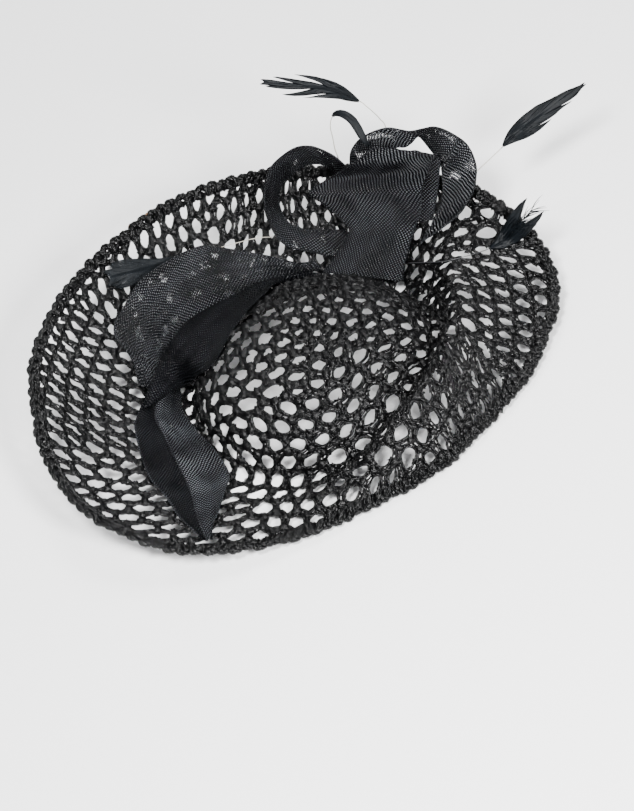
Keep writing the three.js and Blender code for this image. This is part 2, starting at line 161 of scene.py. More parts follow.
def spline_basis(count: int, places: np.ndarray) -> np.ndarray:
    """Weights of a clamped uniform cubic B-spline, by the Cox-de Boor recurrence.

    Args:
        count: how many control points.
        places: places along the curve, from 0 to 1.

    Returns:
        A weight for each place and control point.
    """
    degree = 3
    knots = np.concatenate([np.zeros(degree), np.linspace(0, 1, count - degree + 1), np.ones(degree)])
    s = np.clip(places, 0, 1 - JUST_SHORT)[:, None]
    basis = ((knots[:-1] <= s) & (s < knots[1:])).astype(float)
    for k in range(1, degree + 1):
        left_gap = knots[k:-1] - knots[: -k - 1]
        right_gap = knots[k + 1:] - knots[1:-k]
        left = np.where(left_gap > 0, (s - knots[: -k - 1]) / np.where(left_gap > 0, left_gap, 1), 0)
        right = np.where(right_gap > 0, (knots[k + 1:] - s) / np.where(right_gap > 0, right_gap, 1), 0)
        basis = left * basis[:, :-1] + right * basis[:, 1:]
    return basis


@dataclass
class PlateSurface:
    """The blocked plate's middle surface, from the crown's tip to the rim."""

    # the crown's section: radius and height
    crown: Sequence = ((0, 43), (24, 43), (49, 39), (68, 22))
    # the brim's section at even steps round it: radius and height of the valley, fold, slope and rim
    brim: Sequence = (
        (75, 4, 91, 49, 112, 16, 151, 15),
        (75, -4, 99, 43, 119, 23, 146, 37),
        (75, -4, 90, 17, 115, 27, 137.5, 43.5),
        (75, -5, 90, 11, 115, 26, 138, 46),
        (75, -5, 90, 10, 117, 26, 145.5, 50.5),
        (75, -5, 92, 10, 122, 27, 153, 51.5),
        (75, -5, 94, 10, 128, 27, 163, 46),
        (75, -5, 95, 9, 131, 23, 164, 45.5),
        (75, -4, 95, 8, 131, 19, 162, 34),
        (75, -4, 95, 7, 130, 15, 160, 29.5),
        (75, -4, 92, 6, 122, 9, 146, 15),
        (75, -3, 88, 8, 108, 5, 125.5, 6.5),
        (75, 4, 85, 17, 100, 10, 113, 2.5),
        (75, 13, 85, 39, 101, 15, 113.5, 1.5),
        (75, 12, 85, 50, 104, 15, 118.5, 3),
        (75, 8, 86, 53, 108, 12, 134, 6),
    )
    columns: int = 720
    samples: int = 400
    radius_limit: float = 175.0
    # height given to places past the rim, where nothing rests
    past_rim: float = -1000.0
    # how many samples short of the rim the last point is read
    short_of_rim: float = 1e-6
    # step over which directions and slopes are taken, and the least radius that it turns about
    step: float = 1.0
    least_radius: float = 12.0
    steepest: float = 3.0
    points: np.ndarray = field(init=False)
    length: np.ndarray = field(init=False)
    heights: np.ndarray = field(init=False)

    def __post_init__(self) -> None:
        """Works out the grid of points, the sections' lengths and the table of heights."""
        turns = np.arange(self.columns) / self.columns
        rows = round_table(np.array(self.brim, float), turns)
        crown = np.tile(np.array(self.crown, float), (self.columns, 1, 1))
        control = np.concatenate([crown, rows.reshape(self.columns, -1, 2)], axis=1)
        share = np.linspace(0, 1, self.samples + 1)
        section = np.einsum("sk,ckd->csd", spline_basis(control.shape[1], share), control)
        steps = np.linalg.norm(np.diff(section, axis=1), axis=2)
        distance = np.concatenate([np.zeros((self.columns, 1)), np.cumsum(steps, axis=1)], axis=1)
        self.length = distance[:, -1]
        even = np.stack([
            np.stack([np.interp(share * d[-1], d, s[:, 0]), np.interp(share * d[-1], d, s[:, 1])], axis=1)
            for d, s in zip(distance, section)])
        azimuth = turns[:, None] * FULL_TURN
        self.points = np.stack(
            [even[..., 0] * np.cos(azimuth), even[..., 0] * np.sin(azimuth), even[..., 1]], axis=2)
        radii = np.arange(self.radius_limit)
        self.heights = np.stack([np.interp(radii, s[:, 0], s[:, 1], right=self.past_rim) for s in section])

    def _read(self, grid: np.ndarray, azimuth: np.ndarray, place: np.ndarray) -> np.ndarray:
        """Reads a grid between its points, in proportion both ways, closed round the azimuth.

        Args:
            grid: a row for each column of the plate, with numbers or points along it.
            azimuth: where to read round the plate.
            place: where to read along the row, counted in its entries.

        Returns:
            The numbers or points there, with a last axis also for numbers.
        """
        column = (azimuth / FULL_TURN % 1.0) * self.columns
        i = np.floor(column).astype(int) % self.columns
        beside = (i + 1) % self.columns
        turned = (column - np.floor(column))[..., None]
        j = np.clip(np.floor(place).astype(int), 0, max(grid.shape[1] - 2, 0))
        ahead = np.minimum(j + 1, grid.shape[1] - 1)
        moved = (place - j)[..., None] if grid.shape[1] > 1 else 0.0
        if grid.ndim == 2:
            grid = grid[..., None]
        here = grid[i, j] * (1 - moved) + grid[i, ahead] * moved
        there = grid[beside, j] * (1 - moved) + grid[beside, ahead] * moved
        return here * (1 - turned) + there * turned

    def rim(self, azimuth: np.ndarray) -> np.ndarray:
        """Distance of the rim from the crown's tip at each azimuth."""
        return self._read(self.length[:, None], azimuth, np.zeros_like(azimuth))[..., 0]

    def at(self, azimuth: np.ndarray, distance: np.ndarray) -> np.ndarray:
        """Points on the plate, at azimuths and at distances from the crown's tip."""
        share = np.clip(distance / self.rim(azimuth), 0, 1) * self.samples
        return self._read(self.points, azimuth, np.minimum(share, self.samples - self.short_of_rim))

    def axes(self, azimuth: np.ndarray, distance: np.ndarray) -> tuple[np.ndarray, np.ndarray, np.ndarray]:
        """Directions on the plate.

        Args:
            azimuth: where on the plate.
            distance: how far from the crown's tip.

        Returns:
            Unit directions outwards along the section, round it, and up from it.
        """
        turn = self.step / np.maximum(distance, self.least_radius)
        outward = unit(self.at(azimuth, distance + self.step) - self.at(azimuth, distance - self.step))
        about = self.at(azimuth + turn, distance) - self.at(azimuth - turn, distance)
        up = unit(np.cross(outward, about))
        return outward, np.cross(up, outward), up

    def height(self, x: np.ndarray, y: np.ndarray) -> np.ndarray:
        """Height of the plate over places on the floor."""
        radius = np.minimum(np.hypot(x, y), self.radius_limit - 2)
        return self._read(self.heights, np.arctan2(y, x), radius)[..., 0]

    def resting_height(self, xy: np.ndarray, clear: float) -> np.ndarray:
        """Height of a surface that lies a clearance above the plate.

        Args:
            xy: points' x and y.
            clear: clearance measured square to the plate.

        Returns:
            The lowest height there, far below everything past the rim.
        """
        x, y = xy[..., 0], xy[..., 1]
        rise_x = (self.height(x + self.step, y) - self.height(x - self.step, y)) / (2 * self.step)
        rise_y = (self.height(x, y + self.step) - self.height(x, y - self.step)) / (2 * self.step)
        slope_x = np.clip(rise_x, -self.steepest, self.steepest)
        slope_y = np.clip(rise_y, -self.steepest, self.steepest)
        return self.height(x, y) + clear * np.sqrt(1 + slope_x**2 + slope_y**2)


# Meshes
@dataclass
class Shell:
    """Points, faces and flat coordinates of closed surfaces, before they become a mesh."""

    points: np.ndarray
    faces: list[np.ndarray]
    flat: np.ndarray

    @staticmethod
    def join(shells: Sequence["Shell"]) -> "Shell":
        """Makes several shells one.

        Args:
            shells: the shells, which keep their own faces.

        Returns:
            One shell that holds them all.
        """
        starts = np.cumsum([0] + [len(s.points) for s in shells])
        faces = [f + start for s, start in zip(shells, starts) for f in s.faces]
        return Shell(np.concatenate([s.points for s in shells]), faces,
                     np.concatenate([s.flat for s in shells]))

    def above_floor(self) -> "Shell":
        """The shell with nothing below the surface the fascinator rests on."""
        self.points[:, 2] = np.maximum(self.points[:, 2], LOWEST)
        return self

    def triangles(self) -> int:
        """How many triangles its faces make."""
        return sum(len(f) * (f.shape[1] - 2) for f in self.faces)


def tubes(centers: np.ndarray, across: np.ndarray, up: np.ndarray, half_across: np.ndarray,
          half_up: np.ndarray, sides: int, closed: bool = False) -> Shell:
    """Oval tubes: center + half_across * cos(a) * across + half_up * sin(a) * up.

    Args:
        centers: points along each tube, one tube to a row.
        across: first direction of the oval at each point.
        up: second direction of the oval at each point.
        half_across: half the oval along the first direction.
        half_up: half the oval along the second.
        sides: points round each oval.
        closed: whether each tube ends where it starts.

    Returns:
        The closed shell.
    """
    count, rings = centers.shape[:2]
    share = np.arange(sides) / sides
    cos, sin = np.cos(share * FULL_TURN)[:, None], np.sin(share * FULL_TURN)[:, None]
    points = (centers[:, :, None] + half_across[..., None, None] * cos * across[:, :, None]
              + half_up[..., None, None] * sin * up[:, :, None])
    index = np.arange(count * rings * sides).reshape(count, rings, sides)
    ahead = np.roll(index, -1, axis=1)
    near, far = (index, ahead) if closed else (index[:, :-1], index[:, 1:])
    near_next, far_next = np.roll(near, -1, axis=2), np.roll(far, -1, axis=2)
    faces = [np.stack([near, near_next, far_next, far], axis=-1).reshape(-1, 4)]
    if not closed:
        faces += [index[:, 0, ::-1].reshape(-1, sides), index[:, -1].reshape(-1, sides)]
    steps = np.linalg.norm(np.diff(centers, axis=1), axis=2)
    run = np.concatenate([np.zeros((count, 1)), np.cumsum(steps, axis=1)], axis=1)
    flat = np.stack([np.broadcast_to(run[..., None], index.shape),
                     np.broadcast_to(share * HEM_GIRTH, index.shape)], axis=-1)
    return Shell(points.reshape(-1, 3), faces, flat.reshape(-1, 2))


def lumps(centers: np.ndarray, axes: np.ndarray, radii: np.ndarray, phase: np.ndarray,
          ridge: float, around: int = 8, rings: int = 4) -> Shell:
    """Lumpy balls: radii times a sphere whose radius is 1 + ridge * sin(3 * turn + 5 * height + phase).

    The ridges fade at the poles, by 1 - height^8.

    Args:
        centers: middle of each ball.
        axes: its three directions, as rows.
        radii: its half size along each direction.
        phase: where its ridges start.
        ridge: height of the ridges as a share of the radius.
        around: points round each ring.
        rings: rings between the poles.

    Returns:
        The closed shell.
    """
    turn = np.arange(around) / around * FULL_TURN
    lat = (np.arange(rings) + 1) / (rings + 1) * np.pi
    ring = np.stack([np.sin(lat)[:, None] * np.cos(turn), np.sin(lat)[:, None] * np.sin(turn),
                     np.repeat(np.cos(lat)[:, None], around, axis=1)], axis=-1).reshape(-1, 3)
    ball = np.concatenate([ring, [[0, 0, 1], [0, 0, -1]]])
    wave = 3 * np.arctan2(ball[:, 1], ball[:, 0])[None] + 5 * ball[:, 2][None] + phase[:, None]
    swell = 1 + ridge * np.sin(wave) * (1 - np.abs(ball[:, 2]) ** 8)[None]
    local = ball[None] * radii[:, None] * swell[..., None]
    points = centers[:, None] + np.einsum("mvk,mkd->mvd", local, axes)
    index = np.arange(rings * around).reshape(rings, around)
    turned = np.roll(index, -1, axis=1)
    quads = np.stack([index[:-1], index[1:], turned[1:], turned[:-1]], axis=-1).reshape(-1, 4)
    top = np.stack([np.full(around, rings * around), index[0], turned[0]], axis=-1)
    under = np.stack([np.full(around, rings * around + 1), turned[-1], index[-1]], axis=-1)
    base = np.arange(len(centers))[:, None, None] * len(ball)
    faces = [(f[None] + base).reshape(-1, f.shape[1]) for f in (quads, top, under)]
    return Shell(points.reshape(-1, 3), faces, points.reshape(-1, 3)[:, :2].copy())


def grid_normals(grid: np.ndarray) -> np.ndarray:
    """Surface directions of a grid of points, from its neighbours both ways."""
    return unit(np.cross(np.gradient(grid, axis=0), np.gradient(grid, axis=1)))


def sheet_shell(grid: np.ndarray, thickness: float) -> Shell:
    """A closed sheet: the grid moved half a thickness both ways and joined round its edges.

    Args:
        grid: the sheet's middle, rows along it and columns across it.
        thickness: how thick the cloth is.

    Returns:
        The closed shell, with flat coordinates in millimetres of cloth.
    """
    rows, columns = grid.shape[:2]
    offset = grid_normals(grid) * thickness / 2
    spine = grid[:, columns // 2]
    run = np.cumsum(np.linalg.norm(np.diff(spine, axis=0, prepend=spine[:1]), axis=1))
    span = np.cumsum(np.linalg.norm(np.diff(grid, axis=1, prepend=grid[:, :1]), axis=2), axis=1)
    flat = np.stack([np.repeat(run[:, None], columns, axis=1), span - span[:, -1:] / 2], axis=-1)
    points = np.concatenate([grid + offset, grid - offset])
    index = np.arange(rows * columns).reshape(rows, columns)
    top_faces = np.stack([index[:-1, :-1], index[1:, :-1], index[1:, 1:], index[:-1, 1:]], axis=-1)
    under_faces = top_faces[..., ::-1] + rows * columns
    border = np.concatenate([index[:-1, 0], index[-1, :-1], index[:0:-1, -1], index[0, :0:-1]])
    ahead = np.roll(border, -1)
    walls = np.stack([border, border + rows * columns, ahead + rows * columns, ahead], axis=-1)
    faces = [top_faces.reshape(-1, 4), under_faces.reshape(-1, 4), walls]
    return Shell(points.reshape(-1, 3), faces, np.concatenate([flat, flat]).reshape(-1, 2))


def make_piece(name: str, shell: Shell, finish: bpy.types.Material,
               replaced: Sequence[str] = ()) -> bpy.types.Object:
    """Makes a shell into an object that rides on the fascinator, and reports it.

    Args:
        name: the piece's name.
        shell: its closed surfaces, in millimetres.
        finish: its material.
        replaced: the frame's nodes that it stands for.

    Returns:
        The new object.
    """
    mesh = bpy.data.meshes.new(name)
    points = (shell.points + ORIGIN_SHIFT) * MM
    sizes = np.concatenate([np.full(len(f), f.shape[1]) for f in shell.faces])
    corners = np.concatenate([f.ravel() for f in shell.faces]).astype(np.int32)
    mesh.vertices.add(len(points))
    mesh.vertices.foreach_set("co", points.astype(np.float32).ravel())
    mesh.loops.add(len(corners))
    mesh.loops.foreach_set("vertex_index", corners)
    mesh.polygons.add(len(sizes))
    starts = np.concatenate([[0], np.cumsum(sizes)[:-1]]).astype(np.int32)
    mesh.polygons.foreach_set("loop_start", starts)
    layer = mesh.uv_layers.new(name="cloth")
    mesh.update(calc_edges=True)
    layer.data.foreach_set("uv", (shell.flat[corners] * MM).astype(np.float32).ravel())
    work = bmesh.new()
    work.from_mesh(mesh)
    bmesh.ops.recalc_face_normals(work, faces=work.faces)
    work.to_mesh(mesh)
    work.free()
    mesh.polygons.foreach_set("use_smooth", np.ones(len(sizes), bool))
    mesh.materials.append(finish)
    mesh.validate()
    piece = bpy.data.objects.new(name, mesh)
    bpy.context.scene.collection.objects.link(piece)
    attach(piece, "root")
    if replaced:
        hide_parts(*replaced)
    LOG.info("%s: %d triangles", name, shell.triangles())
    return piece


# Finishes
def linear(code: str) -> tuple[float, float, float, float]:
    """An sRGB hex colour as linear red, green, blue and one."""
    channels = [int(code[i:i + 2], 16) / 255 for i in (1, 3, 5)]
    return (*[c / 12.92 if c <= 0.04045 else ((c + 0.055) / 1.055) ** 2.4 for c in channels], 1.0)


def per(size_mm: float) -> float:
    """A noise's scale, for lumps of a size in millimetres."""
    return 1 / (size_mm * MM)


def add_node(tree: bpy.types.NodeTree, kind: str, inputs: dict | None = None, **settings) -> bpy.types.Node:
    """Adds a node with its settings, and sets or links its inputs.

    Args:
        tree: the material's node tree.
        kind: the node's type name.
        inputs: input name or number to a value, or to the socket that feeds it.
        settings: the node's own properties.

    Returns:
        The new node.
    """
    node = tree.nodes.new(kind)
    for key, value in settings.items():
        setattr(node, key, value)
    for key, value in (inputs or {}).items():
        if isinstance(value, bpy.types.NodeSocket):
            tree.links.new(value, node.inputs[key])
        else:
            node.inputs[key].default_value = value
    return node


def blank_material(name: str) -> tuple[bpy.types.Material, bpy.types.NodeTree]:
    """A new material with an empty node tree.

    Args:
        name: the material's name.

    Returns:
        The material and its tree.
    """
    material = bpy.data.materials.new(name)
    material.use_nodes = True
    material.node_tree.nodes.clear()
    return material, material.node_tree


def finish_material(tree: bpy.types.NodeTree, shader: bpy.types.Node) -> None:
    """Links a shader to the material's output."""
    add_node(tree, "ShaderNodeOutputMaterial", {"Surface": shader.outputs[0]})


@dataclass(frozen=True)
class RaffiaStraw:
    """Viscose raffia straw: flat glossy ribbon, dyed black and crumpled into knots, so it glints.

    Its fibres, a tenth of a millimetre wide, are drawn coarser so that they show.
    """

    dark: str = "#020202"
    light: str = "#0a0a0b"
    tone_mm: float = 6.0
    crumple_mm: float = 1.1
    crumple_depth: float = 0.9
    fibre_mm: float = 0.35
    fibre_depth: float = 0.2
    roughness: tuple = (0.08, 0.24)
    specular: float = 0.2
    ior: float = 1.5

    def material(self) -> bpy.types.Material:
        """Builds the material: noise for colour and gloss, and two sizes of bump.

        Returns:
            The material.
        """
        material, tree = blank_material("raffia_straw")
        place = add_node(tree, "ShaderNodeTexCoord").outputs["Object"]
        tone = add_node(tree, "ShaderNodeTexNoise", {
            "Vector": place, "Scale": per(self.tone_mm), "Detail": 3.0})
        color = add_node(tree, "ShaderNodeMix", {
            0: tone.outputs["Fac"], 6: linear(self.dark), 7: linear(self.light)}, data_type="RGBA")
        gloss = add_node(tree, "ShaderNodeMapRange", {
            "Value": tone.outputs["Fac"], "From Min": NOISE_MIDDLE[0], "From Max": NOISE_MIDDLE[1],
            "To Min": self.roughness[0], "To Max": self.roughness[1]})
        crumple = add_node(tree, "ShaderNodeTexNoise", {
            "Vector": place, "Scale": per(self.crumple_mm), "Detail": 2.0, "Roughness": 0.6})
        fibre = add_node(tree, "ShaderNodeTexNoise", {
            "Vector": place, "Scale": per(self.fibre_mm), "Detail": 1.0})
        fold = add_node(tree, "ShaderNodeBump", {
            "Height": crumple.outputs["Fac"], "Strength": 0.75, "Distance": self.crumple_depth * MM})
        grain = add_node(tree, "ShaderNodeBump", {
            "Height": fibre.outputs["Fac"], "Strength": 0.3, "Distance": self.fibre_depth * MM,
            "Normal": fold.outputs["Normal"]})
        shader = add_node(tree, "ShaderNodeBsdfPrincipled", {
            "Base Color": color.outputs[2], "Roughness": gloss.outputs["Result"], "IOR": self.ior,
            "Specular IOR Level": self.specular, "Normal": grain.outputs["Normal"]})
        finish_material(tree, shader)
        return material


@dataclass(frozen=True)
class SinamayCloth:
    """Stiffened sinamay: an open plain weave of banana fibre, cut on the bias, that glints on its threads.

    Its threads, about a millimetre apart, are drawn coarser so that the weave shows. Their tops are painted
    paler, as painted sheen, and the weave's low parts near-black, as painted shade.
    """

    name: str
    # The threads' tops take the first colour, as painted sheen, and the low parts of the weave the second, as
    # painted shade.
    thread_and_sheen: str = "#484a4e"
    shade: str = "#010102"
    pitch_mm: float = 1.45
    bias_degrees: float = 40.0
    thread_depth: float = 0.4
    # height of the threads below which only the painted shade shows, and above which all of their colour with
    # its painted sheen does
    crest: tuple = (1.25, 1.95)
    # height under which the weave is open, where the cloth is closest and where it is loosest
    opening: tuple = (0.15, 0.85)
    # how strongly the threads' tops take their colour and painted sheen, in the dull and in the bright parts
    # of the cloth, which lie at random
    brightness: tuple = (0.25, 1.1)
    wander_mm: float = 9.0
    wander_reach: float = 1.6
    loose_mm: float = 11.0
    bright_mm: float = 26.0
    glint: float = 1.0
    roughness: float = 0.24

    def thread_height(self, tree: bpy.types.NodeTree, flat: bpy.types.NodeSocket) -> bpy.types.NodeSocket:
        """Height of the weave.

        Each set of threads is the size of a cosine across it. It rises where it passes over the other set
        and sinks where it passes under, which is the product of both cosines. The cloth is as high as the
        higher set.

        Args:
            tree: the material's node tree.
            flat: the cloth's flat coordinates.

        Returns:
            The socket that gives the height, from nought to two.
        """
        wander = add_node(tree, "ShaderNodeTexNoise", {
            "Vector": flat, "Scale": per(self.wander_mm), "Detail": 2.0})
        shift = add_node(tree, "ShaderNodeVectorMath", {
            0: wander.outputs["Color"], 1: (self.wander_reach * MM,) * 3}, operation="MULTIPLY")
        bent = add_node(tree, "ShaderNodeVectorMath", {0: flat, 1: shift.outputs[0]}, operation="ADD")
        biased = add_node(tree, "ShaderNodeMapping", {
            "Vector": bent.outputs[0], "Rotation": (0, 0, np.radians(self.bias_degrees)),
            "Scale": (np.pi * per(self.pitch_mm),) * 3})
        axis = add_node(tree, "ShaderNodeSeparateXYZ", {0: biased.outputs[0]})
        waves = [add_node(tree, "ShaderNodeMath", {0: axis.outputs[name]}, operation="COSINE").outputs[0]
                 for name in ("X", "Y")]
        over = add_node(tree, "ShaderNodeMath", {0: waves[0], 1: waves[1]}, operation="MULTIPLY")
        tops = []
        for wave, operation in zip(waves, ("ADD", "SUBTRACT")):
            size = add_node(tree, "ShaderNodeMath", {0: wave}, operation="ABSOLUTE")
            tops.append(add_node(tree, "ShaderNodeMath", {0: size.outputs[0], 1: over.outputs[0]},
                                 operation=operation).outputs[0])
        return add_node(tree, "ShaderNodeMath", {0: tops[0], 1: tops[1]}, operation="MAXIMUM").outputs[0]

    def material(self) -> bpy.types.Material:
        """Builds the material: crests take the threads' colour with painted sheen, and gloss, lower parts
        take painted shade, and the weave is open where it is low.

        Returns:
            The material.
        """
        material, tree = blank_material(self.name)
        flat = add_node(tree, "ShaderNodeUVMap", uv_map="cloth").outputs["UV"]
        height = self.thread_height(tree, flat)
        crest = add_node(tree, "ShaderNodeMapRange", {
            "Value": height, "From Min": self.crest[0], "From Max": self.crest[1]})
        bright = add_node(tree, "ShaderNodeTexNoise", {
            "Vector": flat, "Scale": per(self.bright_mm), "Detail": 1.0})
        streak = add_node(tree, "ShaderNodeMapRange", {
            "Value": bright.outputs["Fac"], "From Min": NOISE_MIDDLE[0], "From Max": NOISE_MIDDLE[1],
            "To Min": self.brightness[0], "To Max": self.brightness[1]})
        # Painted sheen: how much of the threads' colour each crest takes.
        painted_sheen_mask = add_node(tree, "ShaderNodeMath", {0: crest.outputs[0], 1: streak.outputs[0]},
                          operation="MULTIPLY")
        color = add_node(tree, "ShaderNodeMix", {
            0: painted_sheen_mask.outputs[0], 6: linear(self.shade), 7: linear(self.thread_and_sheen)}, data_type="RGBA")
        sheen = add_node(tree, "ShaderNodeMath", {0: crest.outputs[0], 1: self.glint}, operation="MULTIPLY")
        loose = add_node(tree, "ShaderNodeTexNoise", {
            "Vector": flat, "Scale": per(self.loose_mm), "Detail": 3.0})
        gap = add_node(tree, "ShaderNodeMapRange", {
            "Value": loose.outputs["Fac"], "From Min": 0.5, "From Max": 0.66,
            "To Min": self.opening[0], "To Max": self.opening[1]})
        solid = add_node(tree, "ShaderNodeMath", {0: height, 1: gap.outputs[0]}, operation="GREATER_THAN")
        bump = add_node(tree, "ShaderNodeBump", {
            "Height": height, "Strength": 1.0, "Distance": self.thread_depth * MM})
        shader = add_node(tree, "ShaderNodeBsdfPrincipled", {
            "Base Color": color.outputs[2], "Roughness": self.roughness, "Alpha": solid.outputs[0],
            "Specular IOR Level": sheen.outputs[0], "Normal": bump.outputs["Normal"]})
        finish_material(tree, shader)
        return material


def sinamay_finishes() -> dict[Weave, bpy.types.Material]:
    """Makes the sinamay's finishes.

    Returns:
        A material for each way that the weave shows.
    """
    cloths = {
        # One layer: light comes through it in loose patches.
        Weave.SINGLE: SinamayCloth("sinamay_single"),
        # Two layers: the one behind closes the gaps of the one in front.
        Weave.DOUBLE: SinamayCloth("sinamay_double", thread_and_sheen="#44464a", opening=(0.0, 0.3), glint=0.9),
        # A flat length that faces the light: its threads are painted paler, as painted light.
        Weave.LIT: SinamayCloth("sinamay_lit", thread_and_sheen="#5c5f64", opening=(0.0, 0.5), glint=0.9),
        # Painted shade: the threads are painted darker and glint less, for the fold and the tail's
        # turned-under part.
        Weave.SHADED: SinamayCloth("sinamay_shaded", thread_and_sheen="#2b2d30", opening=(0.0, 0.3), glint=0.5),
    }
    return {weave: cloth.material() for weave, cloth in cloths.items()}


@dataclass(frozen=True)
class MottledFinish:
    """A smooth finish: two close colours mottled, and a fine grain in relief."""

    name: str
    color: str
    second: str
    roughness: float
    tone_mm: float = 1.0
    tone_detail: float = 2.0
    grain_mm: float = 1.0
    grain_depth: float = 0.1
    grain_strength: float = 0.1
    specular: float = 0.5
    cover: float = 1.0

    def material(self) -> bpy.types.Material:
        """Builds the material: two colours mixed by noise, and a finer noise as bump.

        Returns:
            The material.
        """
        material, tree = blank_material(self.name)
        place = add_node(tree, "ShaderNodeTexCoord").outputs["Object"]
        tone = add_node(tree, "ShaderNodeTexNoise", {
            "Vector": place, "Scale": per(self.tone_mm), "Detail": self.tone_detail})
        color = add_node(tree, "ShaderNodeMix", {
            0: tone.outputs["Fac"], 6: linear(self.color), 7: linear(self.second)}, data_type="RGBA")
        grain = add_node(tree, "ShaderNodeTexNoise", {"Vector": place, "Scale": per(self.grain_mm)})
        bump = add_node(tree, "ShaderNodeBump", {
            "Height": grain.outputs["Fac"], "Strength": self.grain_strength,
            "Distance": self.grain_depth * MM})
        shader = add_node(tree, "ShaderNodeBsdfPrincipled", {
            "Base Color": color.outputs[2], "Roughness": self.roughness, "Alpha": self.cover,
            "Specular IOR Level": self.specular, "Normal": bump.outputs["Normal"]})
        finish_material(tree, shader)
        return material


